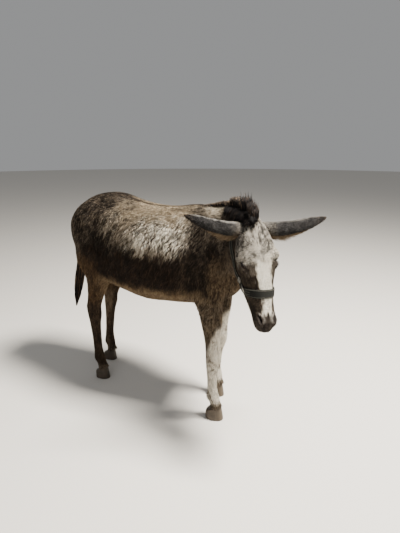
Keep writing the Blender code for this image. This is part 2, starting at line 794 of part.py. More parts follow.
def donkey():
    """Every node of the model, in the body frame: {name: mesh}."""
    skin = flesh()
    nodes = parted_flesh(skin)
    around = grown(skin, 2 * GAP)
    for side, s in SIDES:
        ball = eye(s)
        nodes["head"] = boolean(nodes["head"], grown(ball, GAP), "DIFFERENCE")
        nodes[f"eye_{side}"] = ball
        nodes[f"ear_{side}"] = boolean(ear(side, s), around, "DIFFERENCE")
    for name in LEGS:
        nodes[f"hoof_{name}"] = hoof(name)
    nodes["tail_dock"] = boolean(tail_dock(), around, "DIFFERENCE")
    nodes["tail_switch"] = boolean(tail_switch(), grown(nodes["tail_dock"], GAP), "DIFFERENCE")
    nodes.update(headcollar(skin))
    nodes["mane"] = boolean(mane(), around, "DIFFERENCE")
    nodes["forelock"] = boolean(forelock(), around, "DIFFERENCE")
    make_room(nodes, "crown_strap", ("ear_left", "ear_right"))
    make_room(nodes, "cheek_strap_left", ("ear_left",))
    make_room(nodes, "cheek_strap_right", ("ear_right",))
    make_room(nodes, "mane", ("crown_strap",))
    make_room(nodes, "forelock", ("mane", "ear_left", "ear_right", "crown_strap"))
    return nodes


def build():
    for old in list(bpy.data.objects):
        bpy.data.objects.remove(old)
    nodes = donkey()
    finishes = materials()
    points = np.concatenate([points_of(mesh) for mesh in nodes.values()])
    low, high = points.min(0), points.max(0)
    centring = Matrix.Translation((-(low[0] + high[0]) / 2, -(low[1] + high[1]) / 2, 0.0))
    for name, mesh in nodes.items():
        mesh.transform(centring)
        kind = next((key for key in WEARS if name.startswith(key)), None)
        mesh.materials.clear()
        mesh.materials.append(finishes[WEARS.get(kind, "coat")])
        link(name, mesh)


if __name__ == "__main__":
    build()
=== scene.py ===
"""The looks of a life-size donkey: one skin over the whole body, a coat of hair tufts that lies along it,
mane, forelock and tail of long locks, ears, eyes, hooves and a webbing headcollar.

Everything is modelled in the body frame (metres, +X towards the chest, +Y to the donkey's left, +Z up,
soles on z = 0), and moved into the row's frame as it is finished.
"""

import math
from contextlib import contextmanager

import bmesh
import bpy
import numpy as np
from mathutils import Matrix, Vector
from mathutils.bvhtree import BVHTree


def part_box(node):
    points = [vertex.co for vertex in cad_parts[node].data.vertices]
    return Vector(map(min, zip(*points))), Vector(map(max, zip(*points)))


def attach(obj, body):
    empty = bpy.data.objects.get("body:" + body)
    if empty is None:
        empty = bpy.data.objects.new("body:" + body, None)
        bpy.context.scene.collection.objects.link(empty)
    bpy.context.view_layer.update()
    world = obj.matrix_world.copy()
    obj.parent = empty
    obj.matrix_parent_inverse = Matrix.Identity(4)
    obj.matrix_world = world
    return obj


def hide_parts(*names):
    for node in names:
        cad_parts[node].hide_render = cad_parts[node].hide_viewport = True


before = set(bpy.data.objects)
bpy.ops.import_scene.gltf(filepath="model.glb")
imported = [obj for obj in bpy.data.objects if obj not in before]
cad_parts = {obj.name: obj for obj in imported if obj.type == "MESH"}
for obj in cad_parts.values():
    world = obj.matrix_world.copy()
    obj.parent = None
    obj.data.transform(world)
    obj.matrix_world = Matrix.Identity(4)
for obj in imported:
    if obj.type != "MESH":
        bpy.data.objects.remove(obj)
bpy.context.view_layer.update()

# ---------------------------------------------------------------- driving dimensions

WITHERS_Z = 1.200
CROUP_Z = 1.232
BACK_Z = 1.172
BELLY_Z = 0.618
STERNUM_Z = 0.665
BARREL_HALF_WIDTH = 0.262
FORE_X = 0.395
HIND_X = -0.455
STANCE_Y = 0.128
KNEE_Z = 0.375
HOCK_Z = 0.480
CORONET_Z = 0.062
HEAD_LENGTH = 0.500
EYE_RADIUS = 0.0185

POLL = Vector((0.645, -0.190, 1.172))
HEAD_YAW = math.radians(-44)
HEAD_TILT = math.radians(27)
HEAD_ROLL = math.radians(-2)
EAR_TIPS = {"left": Vector((0.905, 0.012, 1.176)), "right": Vector((0.372, -0.366, 1.198))}
SIDES = (("left", 1), ("right", -1))

# Where the near fore hoof's middle lies in the body frame: it gives the step to the row's frame
HOOF_MIDDLE = Vector((0.4115, -0.124, 0.0))
hoof_low, hoof_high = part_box("hoof_front_right")
TO_ROW = Matrix.Translation((
    (hoof_low.x + hoof_high.x) / 2 - HOOF_MIDDLE.x,
    (hoof_low.y + hoof_high.y) / 2 - HOOF_MIDDLE.y,
    0.0,
))

VOXEL = 0.0065
RING_POINTS = 48
SKIN_TRIANGLES = 190_000
random = np.random.default_rng(11)


# ---------------------------------------------------------------- camera, light and floor

# The camera's place in the body frame, how far it is turned from looking along +Y, and how far down
CAMERA_PLACE = (1.30, -1.864, 1.50)
CAMERA_TURN = 29.5
CAMERA_TILT = 17.0
CAMERA_LENS = 27.085


def add_camera():
    data = bpy.data.cameras.new("camera")
    data.lens = CAMERA_LENS
    camera = bpy.data.objects.new("camera", data)
    camera.location = TO_ROW @ Vector(CAMERA_PLACE)
    camera.rotation_euler = (math.radians(90 - CAMERA_TILT), 0.0, math.radians(CAMERA_TURN))
    bpy.context.scene.collection.objects.link(camera)
    bpy.context.scene.camera = camera


def add_light(name, azimuth, height, distance, size, power, colour):
    """A soft square light round the donkey, azimuth in degrees from +X towards +Y."""
    data = bpy.data.lights.new(name, "AREA")
    data.shape = "SQUARE"
    data.size = size
    data.energy = power
    data.color = colour
    light = bpy.data.objects.new(name, data)
    turn = math.radians(azimuth)
    light.location = (distance * math.cos(turn), distance * math.sin(turn), height)
    aim = Vector((0.0, 0.0, 0.7)) - light.location
    light.rotation_euler = aim.to_track_quat("-Z", "Y").to_euler()
    bpy.context.scene.collection.objects.link(light)


def add_studio():
    """A warm key light over the chest, a weak cool fill in front, a pale sky and a pale floor."""
    warm, cool = (1.0, 0.955, 0.88), (0.95, 0.97, 1.0)
    add_light("key", azimuth=12, height=4.5, distance=2.0, size=1.1, power=1000, colour=warm)
    add_light("front_fill", azimuth=-80, height=2.0, distance=4.4, size=3.0, power=45, colour=cool)
    world = bpy.data.worlds.new("studio")
    world.use_nodes = True
    background = world.node_tree.nodes["Background"]
    background.inputs["Color"].default_value = (0.86, 0.87, 0.88, 1.0)
    background.inputs["Strength"].default_value = 0.36
    bpy.context.scene.world = world
    bpy.ops.mesh.primitive_circle_add(vertices=96, radius=24.0, fill_type="NGON", location=(0, 0, -0.0005))
    floor = bpy.context.object
    floor.name = "floor"
    floor.data.materials.append(plain_material("floor", (0.66, 0.63, 0.58), 0.9))


# ---------------------------------------------------------------- meshes and pieces


def link(name, mesh):
    obj = bpy.data.objects.new(name, mesh)
    bpy.context.scene.collection.objects.link(obj)
    return obj


def finish_piece(name, mesh, material, replaced=()):
    """Puts a mesh made in the body frame in the row's frame, as a piece that rides on the body."""
    mesh.transform(TO_ROW)
    mesh.materials.clear()
    mesh.materials.append(material)
    piece = link(name, mesh)
    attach(piece, "root")
    if replaced:
        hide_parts(*replaced)


def mesh_from(name, points, faces):
    mesh = bpy.data.meshes.new(name)
    mesh.from_pydata([tuple(p) for p in points], [], faces)
    mesh.update()
    return mesh


def triangle_mesh(name, points, triangles):
    """A mesh from arrays, which is quick for hundreds of thousands of triangles."""
    mesh = bpy.data.meshes.new(name)
    mesh.vertices.add(len(points))
    mesh.vertices.foreach_set("co", np.ascontiguousarray(points, np.float32).ravel())
    mesh.loops.add(triangles.size)
    mesh.loops.foreach_set("vertex_index", np.ascontiguousarray(triangles, np.int32).ravel())
    mesh.polygons.add(len(triangles))
    mesh.polygons.foreach_set("loop_start", np.arange(0, triangles.size, 3, dtype=np.int32))
    mesh.update(calc_edges=True)
    mesh.shade_smooth()
    return mesh


def unit(vectors):
    return vectors / np.maximum(np.linalg.norm(vectors, axis=-1, keepdims=True), 1e-9)


def smoothstep(low, high, value):
    t = np.clip((value - low) / (high - low), 0.0, 1.0)
    return t * t * (3 - 2 * t)


def peak(value, middle, width):
    """1 at the middle, falling off smoothly over this width on both sides."""
    return np.exp(-(((value - middle) / width) ** 2))


def bump_at(points, centre, radii):
    """1 at a place, falling off smoothly over this radius, or these three along X, Y and Z."""
    return np.exp(-np.sum(((points - np.array(centre)) / radii) ** 2, axis=1))


def mixed(a, b, share):
    """Colours from a to b."""
    return np.asarray(a) * (1 - share[:, None]) + np.asarray(b) * share[:, None]


def mirrored(vector, s):
    """The place or way itself where s is 1, and its mirror image to the right where s is -1."""
    return np.array(vector) * (1, s, 1)


def rows_at(table, at, along=None):
    """A table's rows at these places along it, counted in rows or in the unit of along."""
    along = range(len(table)) if along is None else along
    return np.array([np.interp(at, along, column) for column in table.T]).T


def noise(points, size, seed=0):
    """Smooth random values from 0 to 1 over space, in cells of this size."""
    place = points / size + 31.7 * (seed + 1)
    cell = np.floor(place).astype(np.int64)
    t = place - cell
    t = t * t * (3 - 2 * t)
    total = np.zeros(len(points))
    for corner in np.ndindex(2, 2, 2):
        x, y, z = (cell + corner).T
        key = (x * 73856093) ^ (y * 19349663) ^ (z * 83492791) ^ (seed * 2654435761)
        key = (key ^ (key >> 13)) * 1274126177 & 0xFFFFFFFF
        value = ((key ^ (key >> 16)) & 0xFFFF) / 0xFFFF
        total += value * np.prod(np.where(corner, t, 1 - t), axis=1)
    return total


def smooth_rows(rows, count):
    """The rows of a table, resampled along a smooth curve through their first three columns."""
    rows = np.array(rows, float)
    steps = np.linalg.norm(np.diff(rows[:, :3], axis=0), axis=1)
    along = np.concatenate([[0.0], np.cumsum(steps)])
    slope = np.gradient(rows, along, axis=0)
    wanted = np.linspace(0.0, along[-1], count)
    i = np.clip(np.searchsorted(along, wanted, "right") - 1, 0, len(rows) - 2)
    span = (along[i + 1] - along[i])[:, None]
    t = (wanted - along[i])[:, None] / span
    a, b = rows[i], rows[i + 1]
    return (
        a * (1 + 2 * t) * (1 - t) ** 2
        + slope[i] * span * t * (1 - t) ** 2
        + b * t**2 * (3 - 2 * t)
        + slope[i + 1] * span * t**2 * (t - 1)
    )


def oval(centre, side, up, half, above, below, taper=0.0, power=2.2):
    """A ring of points: half wide each way along side, above and below its centre along up.
    A positive taper makes it wider above than below, and a higher power makes it squarer."""
    angles = np.linspace(0.0, 2 * math.pi, RING_POINTS, endpoint=False)
    s = np.sign(np.sin(angles)) * np.abs(np.sin(angles)) ** (2 / power)
    c = np.sign(np.cos(angles)) * np.abs(np.cos(angles)) ** (2 / power)
    rise = np.where(c > 0, above, below) * c
    width = half * s * (1 + taper * c)
    return np.array(centre) + np.outer(width, side) + np.outer(rise, up)


def loft(name, rings, closed=False):
    """A skin over rings of equal point count, with a flat face over each end unless it closes on itself."""
    count, n = len(rings), len(rings[0])
    faces = [] if closed else [tuple(range(n)), tuple(range(count * n - n, count * n))]
    for k in range(count if closed else count - 1):
        here, there = k * n, (k + 1) % count * n
        faces += [(here + j, here + (j + 1) % n, there + (j + 1) % n, there + j) for j in range(n)]
    mesh = mesh_from(name, np.concatenate(rings), faces)
    make_normals_point_out(mesh)
    return mesh


@contextmanager
def editing(mesh):
    """The mesh's editable form, written back at the end."""
    bm = bmesh.new()
    bm.from_mesh(mesh)
    yield bm
    bm.to_mesh(mesh)
    bm.free()


def make_normals_point_out(mesh):
    with editing(mesh) as bm:
        bmesh.ops.recalc_face_normals(bm, faces=bm.faces)
        if bm.calc_volume(signed=True) < 0:
            bmesh.ops.reverse_faces(bm, faces=bm.faces)


def ellipsoid(name, centre, radii, turn=(0, 0, 0), segments=32):
    """A ball stretched to three radii, turned by degrees about X, Y and Z."""
    spin = Matrix.Identity(4)
    for axis, degrees in zip("XYZ", turn):
        spin = Matrix.Rotation(math.radians(degrees), 4, axis) @ spin
    place = Matrix.Translation(centre) @ spin @ Matrix.Diagonal((*radii, 1.0))
    mesh = bpy.data.meshes.new(name)
    with editing(mesh) as bm:
        bmesh.ops.create_uvsphere(bm, u_segments=segments, v_segments=segments * 2 // 3, radius=1.0)
        bmesh.ops.transform(bm, matrix=place, verts=bm.verts)
    return mesh


def mirrored_forms(forms):
    """Ellipsoids from a table of left forms (centre, radii and turn of each), with their mirror images."""
    return [
        ellipsoid(name, mirrored(centre, s), radii, (s * turn[0], turn[1], turn[2]))
        for _, s in SIDES
        for name, (centre, radii, turn) in forms.items()
    ]


def joined(name, meshes):
    """One mesh that holds them all, overlaps included."""
    whole = bpy.data.meshes.new(name)
    with editing(whole) as bm:
        for mesh in meshes:
            bm.from_mesh(mesh)
    return whole


def with_modifier(mesh, kind, **settings):
    """The mesh as one modifier changes it."""
    obj = link("work", mesh)
    modifier = obj.modifiers.new(kind, kind)
    for key, value in settings.items():
        setattr(modifier, key, value)
    bpy.context.view_layer.update()
    graph = bpy.context.evaluated_depsgraph_get()
    changed = bpy.data.meshes.new_from_object(obj.evaluated_get(graph))
    bpy.data.objects.remove(obj)
    return changed


def read(items, field, width, kind):
    """One field of all of a mesh's points, edges or triangles, with a row for each."""
    values = np.empty(len(items) * width, kind)
    items.foreach_get(field, values)
    return values.reshape(-1, width)


def points_of(mesh):
    return read(mesh.vertices, "co", 3, np.float32).astype(float)


def normals_of(mesh):
    return read(mesh.vertex_normals, "vector", 3, np.float32).astype(float)


def triangles_of(mesh):
    mesh.calc_loop_triangles()
    return read(mesh.loop_triangles, "vertices", 3, np.int32)


def tree_of(mesh):
    """What rays and nearest places are looked up in."""
    points = [tuple(v.co) for v in mesh.vertices]
    return BVHTree.FromPolygons(points, [tuple(f.vertices) for f in mesh.polygons])


def move_points(mesh, points):
    mesh.vertices.foreach_set("co", np.ascontiguousarray(points, np.float32).ravel())
    mesh.update()


def relax(mesh, steps, share):
    """Evens out the surface: at each step each point moves that much of the way to its neighbours' mean,
    and a negative step moves it back, so that limbs keep their girth. share is each point's own, 0 to 1."""
    a, b = read(mesh.edges, "vertices", 2, np.int32).T
    points = points_of(mesh)
    count = np.bincount(np.concatenate([a, b]), minlength=len(points))[:, None]
    for step in steps:
        total = np.zeros_like(points)
        for axis in range(3):
            total[:, axis] = np.bincount(a, points[b, axis], len(points))
            total[:, axis] += np.bincount(b, points[a, axis], len(points))
        points += step * share[:, None] * (total / count - points)
    move_points(mesh, points)


def paint(mesh, colours):
    """Gives each point its colour, which the material reads as Tint."""
    tint = mesh.attributes.new("Tint", "FLOAT_COLOR", "POINT")
    values = np.ones((len(colours), 4), np.float32)
    values[:, :3] = np.clip(colours, 0.0, 1.0)
    tint.data.foreach_set("color", values.ravel())


# ---------------------------------------------------------------- the head's own frame

# The forms of the head are drawn 0.52 long
HEAD_SCALE = HEAD_LENGTH / 0.52
HEAD = (
    Matrix.Translation(POLL)
    @ Matrix.Rotation(HEAD_YAW, 4, "Z")
    @ Matrix.Rotation(-HEAD_TILT, 4, "Y")
    @ Matrix.Rotation(HEAD_ROLL, 4, "X")
    @ Matrix.Scale(HEAD_SCALE, 4)
)
HEAD_ARRAY = np.array(HEAD)
HEAD_BACK = np.array(HEAD.inverted())

# Behind this x in the head's frame lies only neck, and the head's own forms fade out over this length
BEHIND_JAW_X = -0.26
HEAD_FADE = 0.10
# The height where the legs' own forms begin to fade into the trunk's, and over how much height they do
LIMB_Z = 0.62
LIMB_FADE = 0.16
# The plane between head and neck, in the head's frame: a point of it, and its normal towards the neck
NAPE = np.array((-0.050, 0.0, 0.030))
NECK_WARD = np.array((-0.735, 0.0, 0.678))


def in_head(mesh):
    """Moves a mesh from the head's frame: +X out of the face, +Y to the left ear, the poll at the origin
    and the lips 0.52 below it, before it is scaled to HEAD_LENGTH."""
    mesh.transform(HEAD)
    return mesh


def to_face(points):
    """Points of the body frame in the head's frame."""
    return points @ HEAD_BACK[:3, :3].T + HEAD_BACK[:3, 3]


def from_face(points):
    return points @ HEAD_ARRAY[:3, :3].T + HEAD_ARRAY[:3, 3]


def neckness(points):
    """0 on the head, 1 beyond where it has faded into the neck."""
    face = to_face(points)
    from_head = np.maximum((face - NAPE) @ NECK_WARD, BEHIND_JAW_X - face[:, 0])
    return np.clip(from_head / HEAD_FADE, 0.0, 1.0)


# ---------------------------------------------------------------- the flesh


def trunk():
    """From the buttocks to the chest. Each row: x, y, middle z, half width, top z, bottom z, taper."""
    rows = [
        (-0.640, 0, 1.00, 0.040, 1.050, 0.940, 0.0),
        (-0.610, 0, 0.99, 0.110, 1.105, 0.860, 0.0),
        (-0.530, 0, 0.98, 0.172, 1.178, 0.780, -0.10),
        (-0.400, 0, 0.97, 0.206, CROUP_Z - 0.008, 0.700, -0.12),
        (-0.300, 0, 0.95, 0.222, CROUP_Z - 0.004, 0.655, -0.10),
        (-0.170, 0, 0.91, 0.246, BACK_Z + 0.020, BELLY_Z + 0.015, -0.06),
        (-0.020, 0, 0.90, BARREL_HALF_WIDTH, BACK_Z, BELLY_Z, -0.06),
        (0.110, 0, 0.91, 0.248, BACK_Z + 0.006, BELLY_Z + 0.014, -0.14),
        (0.240, 0, 0.92, 0.206, WITHERS_Z - 0.002, STERNUM_Z - 0.020, -0.30),
        (0.350, 0, 0.93, 0.172, WITHERS_Z - 0.014, STERNUM_Z, -0.34),
        (0.440, 0, 0.93, 0.140, 1.120, STERNUM_Z + 0.035, -0.20),
        (0.505, 0, 0.91, 0.100, 1.020, 0.775, 0.0),
        (0.530, 0, 0.90, 0.040, 0.950, 0.850, 0.0),
    ]
    rings = [
        oval((x, y, z), (0, 1, 0), (0, 0, 1), half, top - z, z - bottom, taper)
        for x, y, z, half, top, bottom, taper in smooth_rows(rows, 60)
    ]
    return loft("trunk", rings)


def neck_table():
    """From inside the shoulders to the poll, bending to the right. Each row: x, y, z of the
    middle, half width, crest above it, throat below it, taper. Also the way that it runs at each."""
    rows = [
        (0.270, 0.000, 0.985, 0.135, 0.200, 0.215, -0.40),
        (0.370, -0.008, 1.010, 0.126, 0.190, 0.215, -0.38),
        (0.460, -0.042, 1.038, 0.108, 0.172, 0.192, -0.34),
        (0.540, -0.098, 1.062, 0.090, 0.150, 0.158, -0.28),
        (0.600, -0.153, 1.078, 0.076, 0.120, 0.125, -0.15),
        (0.640, -0.190, 1.078, 0.064, 0.092, 0.098, 0.0),
    ]
    table = smooth_rows(rows, 34)
    return table, np.gradient(table[:, :3], axis=0)


def neck_axes(along):
    """The neck's own left and up, where it runs this way."""
    side = np.cross((0, 0, 1), along)
    side /= np.linalg.norm(side)
    up = np.cross(along, side)
    return side, up / np.linalg.norm(up)


def neck():
    rings = []
    for row, along in zip(*neck_table()):
        side, up = neck_axes(along)
        rings.append(oval(row[:3], side, up, row[3], row[4], row[5], row[6]))
    return loft("neck", rings)


def head_rings(rows, count, power):
    """Level rings in the head's frame. Each row: middle x, y, z, half width, face x, jaw x, taper."""
    return [
        oval((x, y, z), (0, 1, 0), (1, 0, 0), half, face - x, x - jaw, taper, power)
        for x, y, z, half, face, jaw, taper in smooth_rows(rows, count)
    ]


def skull():
    """The upper head, from the poll to the upper lip: broad at the brow, slim along the nose."""
    rows = [
        (-0.070, 0, 0.020, 0.030, -0.045, -0.100, 0.0),
        (-0.070, 0, 0.000, 0.054, -0.018, -0.128, 0.0),
        (-0.075, 0, -0.050, 0.075, 0.004, -0.150, 0.08),
        (-0.075, 0, -0.110, 0.091, 0.014, -0.160, 0.16),
        (-0.072, 0, -0.170, 0.098, 0.017, -0.158, 0.14),
        (-0.070, 0, -0.230, 0.086, 0.013, -0.150, 0.02),
        (-0.066, 0, -0.290, 0.070, 0.008, -0.138, -0.06),
        (-0.062, 0, -0.350, 0.060, 0.003, -0.120, -0.08),
        (-0.060, 0, -0.410, 0.055, -0.003, -0.108, -0.06),
        (-0.060, 0, -0.460, 0.051, -0.008, -0.102, 0.0),
        (-0.062, 0, -0.494, 0.041, -0.016, -0.098, 0.0),
        (-0.064, 0, -0.513, 0.023, -0.038, -0.088, 0.0),
    ]
    return in_head(loft("skull", head_rings(rows, 46, 2.3)))


def jaw():
    """The lower jaw: deep round cheeks, slim bars and the chin."""
    rows = [
        (-0.160, 0, -0.060, 0.030, -0.120, -0.190, 0.0),
        (-0.165, 0, -0.090, 0.052, -0.080, -0.225, 0.10),
        (-0.160, 0, -0.150, 0.062, -0.070, -0.238, 0.20),
        (-0.156, 0, -0.210, 0.065, -0.070, -0.243, 0.22),
        (-0.145, 0, -0.270, 0.062, -0.070, -0.228, 0.18),
        (-0.128, 0, -0.330, 0.051, -0.065, -0.192, 0.10),
        (-0.114, 0, -0.390, 0.041, -0.060, -0.158, 0.0),
        (-0.104, 0, -0.440, 0.034, -0.060, -0.142, 0.0),
        (-0.100, 0, -0.470, 0.033, -0.060, -0.136, 0.0),
        (-0.096, 0, -0.494, 0.018, -0.080, -0.118, 0.0),
    ]
    return in_head(loft("jaw", head_rings(rows, 40, 2.2)))


# Forms of the head's left half, in the head's frame: centre, radii, turn in degrees
HEAD_FORMS = {
    "orbit": ((-0.038, 0.078, -0.158), (0.036, 0.030, 0.036), (14, 12, 0)),
    "cheek": ((-0.150, 0.042, -0.185), (0.078, 0.036, 0.092), (0, 0, 0)),
    "cheek_crest": ((-0.078, 0.054, -0.245), (0.028, 0.026, 0.080), (0, 0, 0)),
    "nostril": ((-0.034, 0.030, -0.460), (0.027, 0.022, 0.036), (0, -10, 0)),
}


def head_forms():
    """Skull and jaw, with brow ridges, cheek muscles, nostril rims and lips."""
    forms = mirrored_forms(HEAD_FORMS)
    forms.append(ellipsoid("upper_lip", (-0.050, 0, -0.490), (0.038, 0.034, 0.030), (0, 8, 0)))
    forms.append(ellipsoid("lower_lip", (-0.100, 0, -0.480), (0.033, 0.031, 0.025), (0, -12, 0)))
    return [skull(), jaw(), *(in_head(form) for form in forms)]


# Where each leg leaves the trunk and where its foot stands: x, y, foot x, foot y
LEGS = {
    "front_right": (FORE_X, -STANCE_Y, 0.397, -0.124),
    "front_left": (FORE_X - 0.055, STANCE_Y - 0.004, 0.300, 0.084),
    "back_right": (HIND_X, 0.004 - STANCE_Y, -0.448, -0.118),
    "back_left": (HIND_X - 0.030, STANCE_Y - 0.004, -0.572, 0.096),
}
# The height from which a leg leans towards its foot
LEG_TOP = {"front": 0.70, "back": 0.80}

# A leg's rings from the shoulder or haunch to inside the hoof: z, how far ahead of the leg's line,
# half depth fore and aft, half width
FORELEG = (
    (0.93, -0.010, 0.100, 0.050),
    (0.82, -0.025, 0.104, 0.062),
    (0.73, -0.034, 0.090, 0.062),
    (0.65, -0.016, 0.070, 0.053),
    (0.56, -0.005, 0.056, 0.045),
    (0.46, 0.000, 0.043, 0.037),
    (KNEE_Z + 0.030, 0.004, 0.043, 0.040),
    (KNEE_Z - 0.015, 0.003, 0.041, 0.039),
    (KNEE_Z - 0.060, -0.002, 0.034, 0.032),
    (0.240, -0.003, 0.029, 0.026),
    (0.175, -0.001, 0.030, 0.027),
    (0.138, 0.003, 0.037, 0.033),
    (0.100, 0.017, 0.032, 0.029),
    (0.070, 0.028, 0.038, 0.035),
    (0.045, 0.034, 0.041, 0.037),
    (0.025, 0.038, 0.036, 0.032),
)
HINDLEG = (
    (1.00, 0.040, 0.160, 0.070),
    (0.90, 0.045, 0.150, 0.076),
    (0.80, 0.056, 0.124, 0.072),
    (0.72, 0.052, 0.096, 0.062),
    (0.64, 0.030, 0.070, 0.050),
    (0.56, 0.004, 0.053, 0.040),
    (HOCK_Z + 0.025, -0.014, 0.052, 0.037),
    (HOCK_Z - 0.025, -0.012, 0.048, 0.038),
    (HOCK_Z - 0.080, -0.014, 0.039, 0.032),
    (0.300, -0.012, 0.032, 0.027),
    (0.185, -0.008, 0.032, 0.027),
    (0.142, -0.003, 0.037, 0.032),
    (0.104, 0.012, 0.032, 0.029),
    (0.070, 0.026, 0.038, 0.035),
    (0.045, 0.032, 0.041, 0.037),
    (0.025, 0.036, 0.036, 0.032),
)
# The heel bone and the tendon above it: z, how far behind the leg's line, half depth, half height
HOCK_RIDGE = ((HOCK_Z + 0.015, 0.046, 0.020, 0.040), (HOCK_Z + 0.075, 0.042, 0.013, 0.075))
# The coronet's height at the middle of the leg, and how it rises forwards
CORONET = (CORONET_Z, 0.36)


def end_of(name):
    """front or back"""
    return name.split("_")[0]


def leg_line(name, z):
    """x and y of the middle of a leg at height z, on the line from its root to its foot."""
    x, y, foot_x, foot_y = LEGS[name]
    share = np.clip((LEG_TOP[end_of(name)] - z) / LEG_TOP[end_of(name)], 0.0, 1.0)
    return x + (foot_x - x) * share, y + (foot_y - y) * share


def leg_place(name, z, ahead=0.0):
    x, y = leg_line(name, z)
    return x + ahead, y, z


def leg(name):
    table = FORELEG if end_of(name) == "front" else HINDLEG
    rows = [(*leg_place(name, z, ahead), deep, half) for z, ahead, deep, half in table]
    rings = [
        oval((x, y, z), (0, 1, 0), (1, 0, 0), half, deep, deep)
        for x, y, z, deep, half in smooth_rows(rows, 60)
    ]
    return loft(name, rings)


def hock_points():
    """The heel bone of each hock and the tendon above it."""
    return [
        ellipsoid("hock_ridge", leg_place(name, z, -behind), (deep, 0.019, tall), (0, 10, 0))
        for name in ("back_right", "back_left")
        for z, behind, deep, tall in HOCK_RIDGE
    ]


# The forms that stand out of the trunk's left half: centre, radii, turn in degrees
MUSCLES = {
    "shoulder_blade": ((0.325, 0.094, 0.970), (0.110, 0.072, 0.205), (0, 18, 0)),
    "upper_arm": ((0.375, 0.110, 0.830), (0.115, 0.068, 0.100), (0, -30, 0)),
    "haunch": ((-0.400, 0.102, 1.000), (0.200, 0.108, 0.185), (0, 20, 0)),
    "point_of_hip": ((-0.290, 0.146, 1.110), (0.070, 0.052, 0.050), (0, 0, 0)),
    "buttock": ((-0.545, 0.080, 0.965), (0.085, 0.072, 0.150), (0, -12, 0)),
    "thigh": ((-0.440, 0.125, 0.850), (0.130, 0.072, 0.150), (0, 14, 0)),
    "stifle": ((-0.345, 0.135, 0.780), (0.080, 0.055, 0.090), (0, 0, 0)),
}


def muscles():
    return [ellipsoid("breast", (0.450, 0, 0.850), (0.080, 0.110, 0.120)), *mirrored_forms(MUSCLES)]


# The dock of the tail: x, y, z, half width, half depth
DOCK = (
    (-0.545, 0.000, 1.110, 0.028, 0.030),
    (-0.590, 0.000, 1.090, 0.030, 0.029),
    (-0.624, 0.000, 1.030, 0.029, 0.026),
    (-0.638, -0.003, 0.950, 0.024, 0.022),
    (-0.647, -0.009, 0.840, 0.019, 0.017),
)


def strand_rings(rows, thickness=1.0):
    """Rings round the tail, from rows of x, y, z, half width and half depth."""
    rings = []
    table = smooth_rows(rows, 24)
    for row, along in zip(table, np.gradient(table[:, :3], axis=0)):
        side = unit(np.cross(along, (1.0, 0.0, 0.15)))
        up = unit(np.cross(side, along))
        wide, deep = row[3] * thickness, row[4] * thickness
        rings.append(oval(row[:3], side, up, wide, deep, deep, 0.0, 2.0))
    return rings


# Steps of relax: one evens out, and the other evens out and moves back again to keep the girth
SMOOTH_OUT = [0.5]
KEEP_GIRTH = [0.55, -0.53]


def outer_surface():
    """The whole animal but ears, eyes, hooves and hair, at the coat's full depth, as one closed skin."""
    forms = [trunk(), neck(), *head_forms(), *muscles(), *hock_points()]
    forms += [leg(name) for name in LEGS]
    body = with_modifier(joined("body", forms), "REMESH", mode="VOXEL", voxel_size=VOXEL)
    points = points_of(body)
    bulk = neckness(points) * np.clip((points[:, 2] - LIMB_Z) / LIMB_FADE, 0.0, 1.0)
    relax(body, SMOOTH_OUT * 85, bulk)
    relax(body, KEEP_GIRTH * 12, np.clip(0.35 + bulk, 0.0, 1.0))
    dock = loft("dock", strand_rings(DOCK))
    whole = with_modifier(joined("whole", [body, dock]), "REMESH", mode="VOXEL", voxel_size=VOXEL)
    relax(whole, KEEP_GIRTH * 6, np.ones(len(whole.vertices)))
    return whole


# The coat's depth on face, limbs, muzzle and dock, and how much deeper it lies on the trunk and the ribs
FACE_COAT = 0.003
LIMB_COAT = 0.0035
MUZZLE_COAT = 0.002
DOCK_COAT = 0.004
TRUNK_DEEPER = 0.0027
RIBS_DEEPER = 0.0028


def coat_depth(points):
    """How thick the coat lies: a thin skin of hair on face and feet, thick on the trunk."""
    x, y, z = points.T
    ribs = smoothstep(-0.34, -0.20, x) * smoothstep(0.38, 0.26, x) * smoothstep(1.15, 1.07, z)
    depth = LIMB_COAT + (TRUNK_DEEPER + RIBS_DEEPER * ribs) * smoothstep(0.42, 0.66, z)
    depth = FACE_COAT + (depth - FACE_COAT) * neckness(points)
    muzzle = smoothstep(-0.38, -0.44, to_face(points)[:, 2]) * (1 - neckness(points))
    depth = depth + (MUZZLE_COAT - depth) * muzzle
    tail = smoothstep(-0.600, -0.630, x) * smoothstep(0.05, 0.03, np.abs(y)) * smoothstep(0.78, 0.83, z)
    return depth + (DOCK_COAT - depth) * tail


# ---------------------------------------------------------------- the face's detail

# In the head's frame: the middle of the left eyeball, the way it looks and the way to its inner corner
EYE_PLACE = np.array((-0.028, 0.0685, -0.207))
EYE_LOOK = np.array((0.50, 0.85, -0.12))
EYE_CORNER = np.array((0.55, -0.30, -0.78))
EYE_BALL = EYE_RADIUS / HEAD_SCALE
# Half the slit's length, and its upper and lower edges at the middle, in radians round the ball
SLIT = (1.00, 0.30, -0.26)
# The left nostril: its place, the way that it opens, the way of its slit, half length and half width of the
# hole and of its rim, and how strongly the slit bends
NOSTRIL_PLACE = np.array((-0.012, 0.036, -0.458))
NOSTRIL_OUT = np.array((0.75, 0.60, -0.15))
NOSTRIL_SLIT = np.array((0.11, -0.26, -0.96))
NOSTRIL_SIZE = (0.021, 0.0058)
RIM_SIZE = (0.029, 0.0138)
NOSTRIL_BEND = 9.0


def eye_axes(s):
    """The way the eye looks, the way to its inner corner, and the way to the brow."""
    look = unit(mirrored(EYE_LOOK, s))
    corner = mirrored(EYE_CORNER, s)
    corner = unit(corner - (corner @ look) * look)
    brow = np.cross(look, corner)
    return look, corner, brow * np.sign(brow[2])


